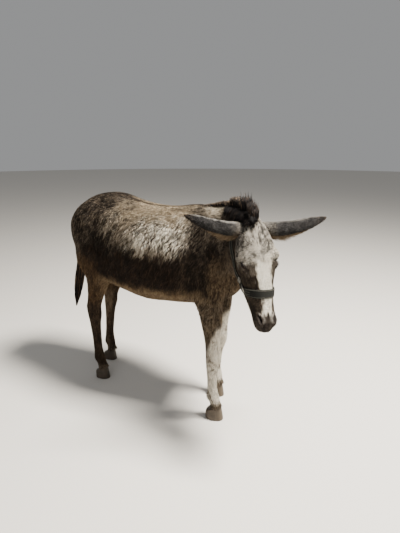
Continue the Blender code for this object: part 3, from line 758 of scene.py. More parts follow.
def eye_angles(face, s):
    """Distance from the ball's middle, angles along and across the slit, and how far in front."""
    look, corner, brow = eye_axes(s)
    from_ball = face - mirrored(EYE_PLACE, s)
    distance = np.linalg.norm(from_ball, axis=1)
    way = from_ball / np.maximum(distance, 1e-6)[:, None]
    along = np.arctan2(way @ corner, way @ look)
    across = np.arcsin(np.clip(way @ brow, -1, 1))
    return distance, along, across, way @ look


def beyond_slit(along, across):
    """How far a direction lies outside the eye's slit, in radians, and negative within it."""
    half, upper, lower = SLIT
    arch = np.maximum(1 - (along / half) ** 2, 0.0)
    above, below = across - upper * arch, lower * arch - across
    past_corner = np.abs(along) - half
    outside = np.maximum(above, below)
    return np.where(past_corner > 0, np.hypot(past_corner, across), outside)


def nostril_parts(face, s):
    """How far from the nostril's middle line, as a share of its own size and of its rim's, how far out of
    it, and the way out."""
    out = unit(mirrored(NOSTRIL_OUT, s))
    slit = mirrored(NOSTRIL_SLIT, s)
    slit = unit(slit - (slit @ out) * out)
    place = face - mirrored(NOSTRIL_PLACE, s)
    along = place @ slit
    aside = place @ (np.cross(out, slit) * s) - NOSTRIL_BEND * along**2
    inside, round_rim = (np.hypot(along / long, aside / wide) for long, wide in (NOSTRIL_SIZE, RIM_SIZE))
    return inside, round_rim, place @ out, out


def mouth_line(face):
    """How far a point lies in front of the line of the lips, and how much of the mouth is here."""
    t = (-face[:, 2] - 0.405) / 0.11
    return face[:, 0] - (-0.110 + 0.030 * t), smoothstep(-0.400, -0.425, face[:, 2])


def ridge_between(face, a, b, width):
    """1 along a line of the face, falling off over this width."""
    t = np.clip((face - a) @ (b - a) / ((b - a) @ (b - a)), 0, 1)
    return np.exp(-np.sum((face - a - t[:, None] * (b - a)) ** 2, axis=1) / width**2)


# Bones and hollows of the left half of the face: from, to, width and height, below 0 for a hollow
FACE_RIDGES = (
    ((-0.060, 0.088, -0.235), (-0.066, 0.066, -0.330), 0.009, 0.0025),
    ((-0.095, 0.080, -0.270), (-0.090, 0.060, -0.350), 0.014, -0.0028),
    ((-0.012, 0.082, -0.150), (-0.055, 0.098, -0.175), 0.012, 0.0030),
    ((-0.020, 0.052, -0.270), (-0.022, 0.042, -0.380), 0.014, -0.0022),
    ((-0.060, 0.070, -0.260), (-0.100, 0.058, -0.330), 0.0022, 0.0010),
)
# The hollow of the temple: its middle, width and depth
TEMPLE = ((-0.050, 0.062, -0.112), 0.022, 0.0050)
# The lids' creases: -1 on the lower lid or 1 on the upper, how far beyond the slit, width and depth
LID_CREASES = (
    (1, 0.30, 0.055, 0.0019),
    (1, 0.58, 0.060, 0.0012),
    (-1, 0.27, 0.050, 0.0011),
    (-1, 0.48, 0.050, 0.0008),
)
LID_THICKNESS = 0.0023
# The folds above the lips: how many, how far the first lies from the lips, and how far apart they are
LIP_FOLDS = (4, 0.017, 0.007)


def with_bones(face, normals):
    for _, s in SIDES:
        middle, width, depth = TEMPLE
        rise = -depth * bump_at(face, mirrored(middle, s), width)
        for a, b, width, height in FACE_RIDGES:
            rise += height * ridge_between(face, mirrored(a, s), mirrored(b, s), width)
        face = face + normals * rise[:, None]
    return face


def with_lids(face, s):
    """The face drawn over the eyeball in a lid's thickness, opened at the slit and creased round it."""
    distance, along, across, ahead = eye_angles(face, s)
    beyond = beyond_slit(along, across)
    near = smoothstep(-0.25, 0.05, ahead) * (distance < EYE_BALL + 0.03)
    lid = peak(np.maximum(beyond, 0.0), 0, 0.36)
    wanted = EYE_BALL + LID_THICKNESS + 0.0009 * peak(beyond, 0.08, 0.07)
    over = distance - wanted
    bulge = wanted + 0.5 * (over + np.sqrt(over**2 + 0.0030**2))
    bulge = bulge + (wanted - bulge) * np.clip(lid * 1.6 - 0.6, 0, 1)
    moved = distance + (bulge - distance) * near
    inside = smoothstep(0.018, -0.045, beyond) * near
    moved = moved + (EYE_BALL - 0.004 - moved) * inside
    reach = np.exp(-((along / 1.15) ** 4)) * near
    arch = np.maximum(1 - (along / SLIT[0]) ** 2, 0)
    for which, far, width, depth in LID_CREASES:
        from_slit = across - SLIT[1] * arch if which > 0 else SLIT[2] * arch - across
        moved -= reach * depth * peak(from_slit, far, width)
    middle = mirrored(EYE_PLACE, s)
    return middle + (face - middle) * (moved / np.maximum(distance, 1e-6))[:, None]


def with_nostril(face, s):
    inside, round_rim, out_of, out = nostril_parts(face, s)
    here = smoothstep(-0.030, -0.014, out_of)
    rim = peak(round_rim, 1.0, 0.34) * here
    face = face + out * (0.0030 * rim)[:, None]
    hole = smoothstep(1.12, 0.55, inside) * here
    return face - (out * 0.9 + np.array((0, 0, -0.45))) * (0.016 * hole)[:, None]


def with_lips(face, normals):
    """The slit of the mouth, full lips, the groove under the nose and the folds above the lips."""
    ahead, mouth = mouth_line(face)
    face = face - normals * (mouth * 0.0048 * peak(ahead, 0, 0.0034))[:, None]
    face += normals * (mouth * 0.0014 * peak(np.abs(ahead), 0.0085, 0.005))[:, None]
    groove = peak(face[:, 1], 0, 0.0035) * smoothstep(-0.470, -0.490, face[:, 2])
    face -= normals * (0.0018 * groove * (ahead > 0.004))[:, None]
    folds, first, apart = LIP_FOLDS
    for k in range(folds):
        fold = peak(ahead - first - apart * k, 0, 0.0016)
        fold *= smoothstep(-0.462, -0.440, face[:, 2]) * smoothstep(-0.405, -0.420, face[:, 2])
        face -= normals * (0.0007 * fold)[:, None]
    return face


def sculpted(face, normals):
    """The face's points moved into bones, lids, nostrils and lips."""
    face = with_bones(face, normals)
    for form in (with_lids, with_nostril):
        for _, s in SIDES:
            face = form(face, s)
    return with_lips(face, normals)


def refine(mesh, wanted):
    """Splits each quad whose middle is wanted into four."""
    with editing(mesh) as bm:
        chosen = wanted(np.array([f.calc_center_median() for f in bm.faces]))
        edges = {e for f, keep in zip(bm.faces, chosen) if keep for e in f.edges}
        bmesh.ops.subdivide_edges(bm, edges=list(edges), cuts=1, use_grid_fill=True)


def near_eyes_or_lips(middles, eye_reach, nostril_reach, lips_from):
    face = to_face(middles)
    close = (face[:, 2] < lips_from) & (neckness(middles) < 0.2)
    for _, s in SIDES:
        close |= np.linalg.norm(face - mirrored(EYE_PLACE, s), axis=1) < eye_reach
        close |= np.linalg.norm(face - mirrored(NOSTRIL_PLACE, s), axis=1) < nostril_reach
    return close


def drawn_into_hooves(points):
    """The ends of the legs made slim, so that they lie within the horn."""
    points = points.copy()
    below = hoof_top(points) - points[:, 2]
    squeeze = 1 - 0.42 * smoothstep(-0.001, 0.012, below)
    for _, _, foot_x, foot_y in LEGS.values():
        mine = (np.hypot(points[:, 0] - foot_x, points[:, 1] - foot_y) < 0.10) & (below > -0.001)
        middle = np.array((foot_x + 0.008, foot_y))
        points[mine, :2] = middle + (points[mine, :2] - middle) * squeeze[mine, None]
    return points


# Where the skin is split finer, step by step: how near an eye and a nostril, and below which z of the head
FINER = ((0.052, 0.040, -0.405), (0.034, 0.028, -0.600))


def skin_from(outer):
    """The bare skin below the coat, with the face's folds."""
    skin = outer.copy()
    points = points_of(skin)
    points -= normals_of(skin) * coat_depth(points)[:, None]
    move_points(skin, drawn_into_hooves(points))
    refine(skin, lambda middles: neckness(middles) < 0.8)
    for reaches in FINER:
        refine(skin, lambda middles: near_eyes_or_lips(middles, *reaches))
    skin = with_modifier(skin, "TRIANGULATE")
    on_head = 1 - neckness(points_of(skin))
    relax(skin, [0.5, -0.48] * 3, on_head)
    points, normals = points_of(skin), normals_of(skin)
    face_normals = normals @ HEAD_ARRAY[:3, :3] / HEAD_SCALE
    head = on_head > 0.3
    points[head] = from_face(sculpted(to_face(points[head]), face_normals[head]))
    move_points(skin, points)
    relax(skin, [0.25, -0.22], on_head)
    ratio = SKIN_TRIANGLES / len(skin.polygons)
    return with_modifier(skin, "DECIMATE", decimate_type="COLLAPSE", ratio=min(1.0, ratio))


# ---------------------------------------------------------------- the coat's colours

BLACK = (0.007, 0.006, 0.006)

# Kinds of hair: the dark hairs' colour, the light hairs' colour and the share of light hairs
HAIR = {
    "trunk": ((0.045, 0.033, 0.024), (0.300, 0.246, 0.182), 0.46),
    "back": ((0.150, 0.114, 0.078), (0.420, 0.337, 0.226), 0.60),
    "croup": ((0.010, 0.007, 0.005), (0.150, 0.117, 0.085), 0.29),
    "shoulder": ((0.014, 0.010, 0.008), (0.150, 0.120, 0.088), 0.36),
    "hip": ((0.024, 0.018, 0.012), (0.370, 0.310, 0.235), 0.46),
    "patch": ((0.026, 0.019, 0.013), (0.840, 0.760, 0.625), 0.59),
    "flank_shade": ((0.007, 0.005, 0.0035), (0.090, 0.072, 0.053), 0.15),
    "low_side_shade": ((0.007, 0.0045, 0.0032), (0.042, 0.025, 0.015), 0.20),
    "elbow_shade": ((0.007, 0.005, 0.0035), (0.060, 0.041, 0.027), 0.24),
    "belly": ((0.080, 0.053, 0.030), (0.225, 0.157, 0.088), 0.62),
    "thigh": ((0.028, 0.016, 0.009), (0.125, 0.076, 0.038), 0.42),
    "inner_thigh": ((0.080, 0.053, 0.031), (0.240, 0.168, 0.098), 0.65),
    "shin": ((0.020, 0.013, 0.009), (0.078, 0.052, 0.033), 0.38),
    "inner_shin": ((0.10, 0.070, 0.045), (0.27, 0.20, 0.13), 0.55),
    "chest": ((0.022, 0.014, 0.008), (0.170, 0.117, 0.068), 0.46),
    "forearm": ((0.024, 0.017, 0.011), (0.170, 0.127, 0.085), 0.48),
    "sock": ((0.100, 0.080, 0.062), (0.380, 0.335, 0.280), 0.58),
    "white_sock": ((0.300, 0.258, 0.200), (0.810, 0.750, 0.640), 0.82),
    "sock_fleck": ((0.060, 0.046, 0.035), (0.200, 0.160, 0.120), 0.35),
    "coronet": ((0.045, 0.032, 0.022), (0.200, 0.155, 0.108), 0.45),
    "neck": ((0.007, 0.005, 0.004), (0.044, 0.032, 0.022), 0.24),
    "under_mane_shade": ((0.006, 0.005, 0.005), (0.030, 0.023, 0.018), 0.15),
    "pale_sunlit_withers": ((0.130, 0.098, 0.066), (0.660, 0.570, 0.430), 0.84),
    "stripe": ((0.018, 0.013, 0.010), (0.080, 0.058, 0.041), 0.22),
    "face": ((0.015, 0.011, 0.008), (0.075, 0.055, 0.038), 0.38),
    "brow": ((0.030, 0.026, 0.022), (0.560, 0.512, 0.428), 0.51),
    "poll": ((0.022, 0.019, 0.017), (0.390, 0.352, 0.296), 0.40),
    "by_the_ear": ((0.020, 0.016, 0.013), (0.200, 0.175, 0.148), 0.36),
    "bridge": ((0.450, 0.396, 0.310), (0.925, 0.868, 0.745), 0.90),
    "beside_bridge_in_shade": ((0.026, 0.019, 0.014), (0.110, 0.084, 0.062), 0.42),
    "eye_ring": ((0.050, 0.040, 0.032), (0.190, 0.158, 0.124), 0.52),
    "muzzle": ((0.014, 0.010, 0.008), (0.060, 0.047, 0.036), 0.38),
    "nostril_rim": ((0.090, 0.078, 0.068), (0.340, 0.310, 0.272), 0.55),
    "chin": ((0.050, 0.034, 0.023), (0.190, 0.138, 0.092), 0.46),
    "jaw_line": ((0.030, 0.021, 0.014), (0.120, 0.088, 0.058), 0.42),
    "ear_back": ((0.010, 0.009, 0.009), (0.062, 0.058, 0.055), 0.40),
    "ear_top_highlight": ((0.030, 0.027, 0.024), (0.300, 0.280, 0.255), 0.52),
    "ear_inside": ((0.045, 0.030, 0.019), (0.230, 0.165, 0.100), 0.45),
    "ear_rim": ((0.018, 0.014, 0.011), (0.16, 0.12, 0.085), 0.35),
    "ear_tip": (BLACK, (0.075, 0.058, 0.045), 0.30),
    "ear_foot": ((0.024, 0.020, 0.017), (0.300, 0.270, 0.228), 0.40),
    "ear_foot_edge": ((0.050, 0.034, 0.021), (0.240, 0.176, 0.112), 0.50),
}


class Look:
    """Dark hair's colour, light hair's colour and the share of light hair at each point."""

    def __init__(self, count, hair):
        dark, light, share = HAIR[hair]
        self.dark = np.tile(dark, (count, 1))
        self.light = np.tile(light, (count, 1))
        self.share = np.full(count, share)

    def lay(self, where, hair):
        """Covers what is here with another kind of hair, by how much where says."""
        dark, light, share = HAIR[hair]
        where = np.clip(where, 0.0, 1.0)
        self.dark = mixed(self.dark, dark, where)
        self.light = mixed(self.light, light, where)
        self.share = self.share * (1 - where) + share * where

    def mottle(self, grain):
        """Varies the share of light hair by this grain, most where both kinds are even."""
        self.share = self.share + grain * 4 * self.share * (1 - self.share)


def body_look(points):
    """The markings of trunk, neck and legs, with painted sunlight on the back, ribs and withers and painted
    shade on the lower sides, flank, elbows, shoulders and neck.
    """
    x, y, z = points.T
    torn = noise(points, 0.045, 1) - 0.5
    ragged = z + 0.07 * (noise(points * (1, 1, 0.3), 0.011, 2) - 0.5) + 0.06 * torn
    look = Look(len(points), "trunk")
    loose = x + 0.16 * torn + 0.05 * (noise(points, 0.015, 9) - 0.5)
    # The lighter back: partly lighter hair, partly painted sunlight on the top of the body
    back = smoothstep(-0.26, -0.10, loose) * smoothstep(0.34, 0.24, loose)
    back *= smoothstep(1.06, 1.13, z + 0.04 * torn)
    look.lay(back, "back")
    look.lay(smoothstep(-0.10, -0.27, loose), "croup")
    # The darker shoulders: partly darker hair, partly painted shade under the neck and ears
    look.lay(smoothstep(0.15, 0.29, loose), "shoulder")
    hip = np.exp(-(((x + 0.215) / 0.060) ** 2) - ((z - 1.07) / 0.075) ** 2)
    look.lay(hip, "hip")
    # The pale patch on the ribs: partly pale hair, partly painted sunlight on the upper ribs
    patch = peak(np.maximum(np.abs(0.5 * (x + loose) - 0.096) - 0.100, 0), 0, 0.060)
    patch *= smoothstep(0.948, 1.022, ragged) * smoothstep(1.14, 1.05, ragged)
    look.lay(patch, "patch")
    calm = np.clip(0.62 + 0.50 * patch - 0.30 * back, 0.1, 1.15)
    # The dark flank and lower sides: partly dark hair, partly painted shade where the barrel turns under
    flank_shade = smoothstep(0.02, -0.07, x) * smoothstep(-0.42, -0.34, x) * smoothstep(1.04, 0.97, ragged)
    look.lay(0.92 * flank_shade, "flank_shade")
    look.lay(smoothstep(0.975, 0.925, ragged) * smoothstep(-0.50, -0.40, x), "low_side_shade")
    # Behind the elbows: partly dark hair, partly painted shade
    look.lay(smoothstep(0.21, 0.26, x) * smoothstep(1.04, 0.95, ragged), "elbow_shade")
    look.lay(smoothstep(0.785, 0.735, z + 0.05 * torn), "belly")
    thigh = smoothstep(-0.30, -0.42, x) * smoothstep(0.93, 0.82, ragged)
    look.lay(thigh, "thigh")
    inner = thigh * smoothstep(0.15, 0.10, np.abs(y)) * smoothstep(0.56, 0.66, z)
    look.lay(inner, "inner_thigh")
    shin = smoothstep(0.60, 0.50, z) * (x < 0)
    look.lay(shin, "shin")
    inside = np.zeros(len(points))
    for name in LEGS:
        leg_x, leg_y = leg_line(name, z)
        mine = (np.abs(x - leg_x) < 0.10) & ((y > 0) == (leg_y > 0))
        inside[mine] = ((leg_y - y) * np.sign(leg_y) / 0.03)[mine]
    look.lay(0.8 * shin * smoothstep(0.45, 1.0, inside), "inner_shin")
    look.lay(smoothstep(0.36, 0.42, x) * smoothstep(1.00, 0.90, z), "chest")
    look.lay(smoothstep(0.22, 0.30, x) * smoothstep(0.80, 0.68, z), "forearm")
    fore_x = np.where(y < 0, leg_line("front_right", z)[0], leg_line("front_left", z)[0])
    white_side = (x - fore_x) / 0.035 + 0.6 * inside + 0.9 * torn + 0.5
    sock_from = 0.495 + 0.070 * np.clip(white_side, -1, 1)
    sock = smoothstep(0.22, 0.28, x) * smoothstep(0.035, -0.035, z - sock_from + 0.06 * torn)
    look.lay(sock, "sock")
    lower_half = 0.62 * smoothstep(0.37, 0.29, z + 0.08 * torn)
    look.lay(sock * np.maximum(smoothstep(-0.9, 0.1, white_side), lower_half), "white_sock")
    flecks = smoothstep(0.56, 0.70, noise(points, 0.012, 3))
    look.lay(0.9 * sock * flecks * smoothstep(0.35, 0.65, noise(points, 0.06, 4)), "sock_fleck")
    look.lay(smoothstep(0.125, 0.090, z), "coronet")
    # The dark neck: partly its own hair, partly painted shade from the head and ears
    look.lay(neck_share(points), "neck")
    # Near black on the right of the crest under the mane: partly dark hair, partly painted shade under the
    # right ear
    look.lay(1.3 * bump_at(points, (0.460, -0.060, 1.205), (0.065, 0.080, 0.060)), "under_mane_shade")
    # Pale withers: partly pale hair, partly painted sunlight
    look.lay(bump_at(points, (0.385, -0.030, 1.190), (0.075, 0.060, 0.055)), "pale_sunlit_withers")
    stripe = peak(y, 0, 0.016) * smoothstep(1.10, 1.14, z) * smoothstep(0.34, 0.26, x)
    look.lay(0.85 * stripe, "stripe")
    streaks = noise(points * (1, 1, 0.22), 0.0055, 5) - 0.5
    clumps = noise(points * (1, 1, 0.4), 0.0115, 10) - 0.5
    blots = noise(points * (1, 1, 0.5), 0.026, 6) - 0.5
    grizzle = 1.35 * streaks + 1.10 * (1 - 0.85 * patch) * clumps + 0.35 * blots
    look.mottle(calm * grizzle)
    return look


# The line where the shoulders end and the neck begins, seen from the side: a point of it, and how far it
# runs forwards for each metre down
NECK_LINE = (0.395, 1.21, 0.394)


def past_shoulders(points):
    """How far in front of the line between shoulders and neck."""
    x, _, z = points.T
    line_x, line_z, slope = NECK_LINE
    return x - (line_x + (line_z - z) * slope)


def neck_share(points):
    """0 at the shoulder, 1 half-way up the neck."""
    return smoothstep(-0.01, 0.07, past_shoulders(points)) * smoothstep(0.80, 0.88, points[:, 2])


# How far the white of the nose's bridge reaches on the right of the face, less far than on the left: its
# right edge is partly painted shade. z in the head's frame, reach
BRIDGE_EDGE = (
    (-0.450, 0.026), (-0.425, 0.021), (-0.385, 0.011),
    (-0.345, 0.017), (-0.300, 0.030), (-0.240, 0.032),
)


def face_look(points):
    """The markings of the head, with painted shade on the right of the nose beside the white bridge."""
    face = to_face(points)
    x, y, z = face.T
    torn = noise(face, 0.030, 7) - 0.5
    fine = noise(face * (1, 1, 0.35), 0.0065, 8) - 0.5
    mottles = noise(face * (1, 1, 0.6), 0.0125, 12) - 0.5
    side = y + 0.014 * fine + 0.009 * torn
    look = Look(len(points), "face")
    brow = smoothstep(-0.215, -0.175, z + 0.04 * torn) * smoothstep(-0.080, -0.045, x + 0.05 * torn)
    look.lay(brow, "brow")
    top = smoothstep(-0.180, -0.080, z - 0.4 * y + 0.05 * torn)
    top *= smoothstep(-0.105, -0.070, x + 0.03 * torn)
    look.lay(0.9 * top, "poll")
    for _, s in SIDES:
        by_the_ear = bump_at(face, mirrored((-0.048, 0.086, -0.072), s), (0.045, 0.034, 0.042))
        look.lay(0.85 * by_the_ear, "by_the_ear")
    near_edge = np.interp(z, *zip(*BRIDGE_EDGE))
    far_edge = 0.042 - 0.016 * smoothstep(-0.33, -0.40, z)
    over_edge = np.where(side < 0, -side - near_edge, side - far_edge)
    bridge = smoothstep(-0.042, -0.028, x) * smoothstep(0.006, -0.006, over_edge)
    bridge *= smoothstep(-0.452, -0.425, z + 0.05 * fine) * smoothstep(-0.165, -0.215, z + 0.05 * torn)
    look.lay(bridge, "bridge")
    # Grey-brown beside the white on the right of the nose, where the white stops short: painted shade
    beside_in_shade = peak(z, -0.385, 0.055) * smoothstep(0.020, 0.034, -side) * smoothstep(-0.05, -0.02, x)
    look.lay(0.6 * beside_in_shade, "beside_bridge_in_shade")
    for _, s in SIDES:
        beyond = beyond_slit(*eye_angles(face, s)[1:3])
        ring = peak(beyond, 0.62, 0.26) * (np.abs(z + 0.207) < 0.05) * (s * y > 0.03)
        look.lay(0.75 * ring * (1 - brow), "eye_ring")
    look.lay(smoothstep(-0.425, -0.455, z), "muzzle")
    for _, s in SIDES:
        _, beside_rim, out_of, _ = nostril_parts(face, s)
        rim = peak(beside_rim, 1.15, 0.30) * (out_of > -0.020) * smoothstep(0.045, 0.034, s * y)
        look.lay(0.75 * rim * smoothstep(-0.484, -0.466, z), "nostril_rim")
    chin = smoothstep(-0.375, -0.43, z + 0.05 * torn) * smoothstep(-0.092, -0.118, x + 0.04 * torn)
    look.lay(chin, "chin")
    look.lay(0.8 * smoothstep(-0.170, -0.205, x) * smoothstep(-0.42, -0.36, z), "jaw_line")
    look.mottle(1.2 * fine + (0.35 + 0.5 * top) * mottles + 0.7 * torn)
    return look


def bare_skin_and_shade(face):
    """How dark and hairless the skin is here: round the eyes, in the nostrils and between the lips, where
    the dark is partly painted shade of the hollows.
    """
    dark = np.zeros(len(face))
    for _, s in SIDES:
        distance, along, across, ahead = eye_angles(face, s)
        beyond = beyond_slit(along, across)
        round_eye = smoothstep(0.30, 0.16, beyond) * (ahead > 0.1) * (distance < EYE_BALL + 0.012)
        look, corner, _ = eye_axes(s)
        eye = mirrored(EYE_PLACE, s)
        tear_from, tear_to = eye + look * 0.014 + corner * 0.016, eye + look * 0.010 + corner * 0.028
        tear = ridge_between(face, tear_from, tear_to, 0.0042)
        inside, _, out_of, _ = nostril_parts(face, s)
        # Inside the nostrils: partly dark skin, partly painted shade of the hollow
        hole = smoothstep(1.30, 0.90, inside) * (out_of > -0.030)
        dark = np.maximum.reduce([dark, round_eye, tear * 0.8, hole])
    # Along the mouth's slit: partly dark skin, partly painted shade of the crease
    ahead, mouth = mouth_line(face)
    return np.maximum(dark, mouth * peak(ahead, 0, 0.0042))


def look_at(points):
    """The markings anywhere on the body's skin."""
    look, head = body_look(points), face_look(points)
    on_neck = smoothstep(0.05, 0.45, neckness(points))
    for part in ("dark", "light", "share"):
        there, here = getattr(look, part), getattr(head, part)
        blend = on_neck[:, None] if there.ndim == 2 else on_neck
        setattr(look, part, here * (1 - blend) + there * blend)
    return look


# Where the skin is bare it has a dark colour of its own, partly painted shade in the nostrils and between
# the lips; elsewhere the coat's colours with fewer light hairs, darkened as painted shade between the hairs
DARK_SKIN_AND_SHADE = (0.012, 0.009, 0.008)
SKIN_SHADE = 0.72
SKIN_LIGHT_SHARE = 0.85


def bareness(points):
    """bare_skin_and_shade for points of the body frame, and 0 behind the head."""
    return bare_skin_and_shade(to_face(points)) * (neckness(points) < 0.3)


def skin_colours(points):
    look = look_at(points)
    share = np.clip(look.share * SKIN_LIGHT_SHARE, 0.0, 1.0)
    return mixed(mixed(look.dark, look.light, share) * SKIN_SHADE, DARK_SKIN_AND_SHADE, bareness(points))


# ---------------------------------------------------------------- materials


def plain_material(name, colour, roughness, metallic=0.0):
    """One colour all over, without grain."""
    material = bpy.data.materials.new(name)
    material.use_nodes = True
    shader = material.node_tree.nodes["Principled BSDF"]
    shader.inputs["Base Color"].default_value = (*colour, 1.0)
    shader.inputs["Roughness"].default_value = roughness
    shader.inputs["Metallic"].default_value = metallic
    return material


def painted_material(name, roughness, shine, grain=0.0, grain_size=900.0, bump=0.0, stretch=(1, 1, 0.3)):
    """The piece's own Tint, with a fine procedural grain in colour and height."""
    material = bpy.data.materials.new(name)
    material.use_nodes = True
    nodes, links = material.node_tree.nodes, material.node_tree.links
    shader = nodes["Principled BSDF"]
    shader.inputs["Roughness"].default_value = roughness
    shader.inputs["Specular IOR Level"].default_value = shine
    tint = nodes.new("ShaderNodeAttribute")
    tint.attribute_name = "Tint"
    if not (grain or bump):
        links.new(tint.outputs["Color"], shader.inputs["Base Color"])
        return material
    place = nodes.new("ShaderNodeTexCoord")
    scaled = nodes.new("ShaderNodeMapping")
    scaled.inputs["Scale"].default_value = stretch
    links.new(place.outputs["Object"], scaled.inputs["Vector"])
    texture = nodes.new("ShaderNodeTexNoise")
    texture.inputs["Scale"].default_value = grain_size
    texture.inputs["Detail"].default_value = 2.0
    links.new(scaled.outputs["Vector"], texture.inputs["Vector"])
    span = nodes.new("ShaderNodeMapRange")
    span.inputs["From Min"].default_value = 0.3
    span.inputs["From Max"].default_value = 0.7
    span.inputs["To Min"].default_value = 1.0 - grain
    span.inputs["To Max"].default_value = 1.0 + grain
    links.new(texture.outputs["Fac"], span.inputs["Value"])
    times = nodes.new("ShaderNodeVectorMath")
    times.operation = "SCALE"
    links.new(tint.outputs["Color"], times.inputs[0])
    links.new(span.outputs["Result"], times.inputs["Scale"])
    links.new(times.outputs["Vector"], shader.inputs["Base Color"])
    if bump:
        height = nodes.new("ShaderNodeBump")
        height.inputs["Strength"].default_value = bump
        height.inputs["Distance"].default_value = 0.001
        links.new(texture.outputs["Fac"], height.inputs["Height"])
        links.new(height.outputs["Normal"], shader.inputs["Normal"])
    return material


# ---------------------------------------------------------------- tufts

# How wide each tuft's or lock's patch of the map is
PATCH = 0.003
# Where a tuft's corners lie in its patch, as shares of PATCH: the three upper sides share one part and the
# underside has another. Corners: root, left, right, top, tip.
UPPER_UV = np.array(((-0.5, -0.17), (-0.1, -0.5), (-0.1, 0.16), (-0.05, -0.17), (0.5, -0.17)))
UNDER_UV = np.array(((-0.5, 0.35), (-0.1, 0.20), (-0.1, 0.5), (0.0, 0.35), (0.5, 0.35)))
# The six sides of a tuft, and which of them are its underside
TUFT_SIDES = np.array(((0, 1, 3), (0, 3, 2), (4, 3, 1), (4, 2, 3), (0, 2, 1), (4, 1, 2)))
UNDERSIDES = (False, False, False, False, True, True)


def hair_piece(name, corners, sides, colours, place_uv, sides_uv):
    """A mesh of closed hairs (hairs x corners x 3), all with these sides, each with a patch of the map."""
    count, each = corners.shape[:2]
    triangles = (np.arange(count)[:, None, None] * each + np.array(sides)[None]).reshape(-1, 3)
    mesh = triangle_mesh(name, corners.reshape(-1, 3), triangles)
    paint(mesh, colours.reshape(-1, 3))
    uv = place_uv[:, None, None] + np.array(sides_uv)[None] * PATCH
    layer = mesh.uv_layers.new(name="OFBake")
    layer.data.foreach_set("uv", uv.astype(np.float32).ravel())
    return mesh


def tuft_mesh(name, root, normal, flow, length, width, lift, root_colour, tip_colour, place_uv):
    """One closed six-sided sliver for each root, lying along flow."""
    count = len(root)
    side = unit(np.cross(normal, flow))
    flow = np.cross(side, normal)
    sway = random.normal(0, 0.10, count)[:, None]
    half = side * (0.5 * width)[:, None]
    middle = root + flow * (0.42 * length)[:, None] + normal * (0.62 * lift)[:, None]
    tip = root + flow * length[:, None] + normal * lift[:, None] + side * sway * length[:, None]
    top = middle + normal * (0.42 * width)[:, None]
    corners = np.stack([root - normal * 0.0006, middle + half, middle - half, top, tip], 1)
    middle_colour = 0.35 * root_colour + 0.65 * tip_colour
    colours = np.stack([root_colour, middle_colour, middle_colour, middle_colour, tip_colour], 1)
    maps = [(UNDER_UV if under else UPPER_UV)[list(k)] for k, under in zip(TUFT_SIDES, UNDERSIDES)]
    return hair_piece(name, corners, TUFT_SIDES, colours, place_uv, maps)


def hair_colours(look, lightness=0.16):
    """A root and a tip colour for each tuft, picked light or dark by the look's share."""
    count = len(look.share)
    is_light = smoothstep(-0.20, 0.20, np.clip(look.share, 0.02, 0.98) - random.random(count))
    colour = mixed(look.dark, look.light, is_light)
    colour = colour * np.exp(random.normal(0, lightness, count))[:, None]
    warm = random.normal(0, 0.03, count)[:, None] * np.array((1, 0, -1))
    colour = np.clip(colour * (1 + warm), 0, 1)
    return colour * 0.62, colour * 1.10


def scatter(points, normals, triangles, weight, count):
    """Places spread evenly over a surface, more of them where weight is more."""
    a, b, c = (points[triangles[:, k]] for k in range(3))
    area = np.linalg.norm(np.cross(b - a, c - a), axis=1) * weight
    total = np.cumsum(area)
    chosen = np.searchsorted(total, (np.arange(count) + random.random(count)) / count * total[-1])
    chosen = np.minimum(chosen, len(triangles) - 1)
    u, v = random.random((2, count))
    fold = u + v > 1
    u[fold], v[fold] = 1 - u[fold], 1 - v[fold]
    parts = np.stack([1 - u - v, u, v], 1)[:, :, None]
    corners = triangles[chosen]
    return (points[corners] * parts).sum(1), unit((normals[corners] * parts).sum(1))


# Where the hair of the face parts, between and just above the eyes
WHORL = np.array((0.016, 0.0, -0.160))


def lie_of_coat(points, normals):
    """The way the hair lies: back and down on the trunk, down the legs, away from the whorl on the face."""
    x, y, z = points.T
    way = np.stack([np.full(len(x), -0.30), np.zeros(len(x)), np.full(len(x), -0.95)], 1)
    on_top = smoothstep(0.55, 0.95, normals[:, 2])
    way[:, 0] -= 0.8 * on_top
    way[:, 1] += 0.45 * np.sign(y) * on_top * smoothstep(0.0, 0.03, np.abs(y))
    under = smoothstep(-0.5, -0.9, normals[:, 2])
    way[:, 0] -= 1.6 * under
    rear = smoothstep(-0.50, -0.60, x)
    way[:, 0] += 0.30 * rear
    limb = smoothstep(0.66, 0.52, z)
    way[:, :2] *= (1 - limb)[:, None]
    face = to_face(points)
    from_whorl = face - WHORL
    radial = unit(from_whorl * (0.2, 1.3, 1.0) + (0, 0, 1e-4))
    down = np.stack([-0.25 * np.ones(len(x)), 0.12 * np.sign(face[:, 1]), -np.ones(len(x))], 1)
    far = smoothstep(0.02, 0.13, -from_whorl[:, 2])[:, None]
    behind = smoothstep(-0.060, -0.100, face[:, 0])[:, None] * smoothstep(-0.06, -0.14, face[:, 2])[:, None]
    face_way = radial * (1 - far) + down * far
    face_way = unit(face_way) * (1 - behind) + (-0.45, 0.0, -0.9) * behind
    face_way = face_way @ HEAD_ARRAY[:3, :3].T
    on_neck = smoothstep(0.1, 0.7, neckness(points))[:, None]
    way = unit(face_way) * (1 - on_neck) + unit(way) * on_neck
    way -= normals * np.sum(way * normals, axis=1)[:, None]
    way = unit(way)
    aside = np.cross(normals, way)
    hairy = on_neck[:, 0] * (1 - limb)
    swirl = (0.45 + 0.35 * hairy) * (noise(points, 0.055, 9) - 0.5)
    swirl += (0.30 + 0.55 * hairy) * (noise(points, 0.017, 10) - 0.5) + random.normal(0, 0.10, len(x))
    return unit(way * np.cos(swirl)[:, None] + aside * np.sin(swirl)[:, None])


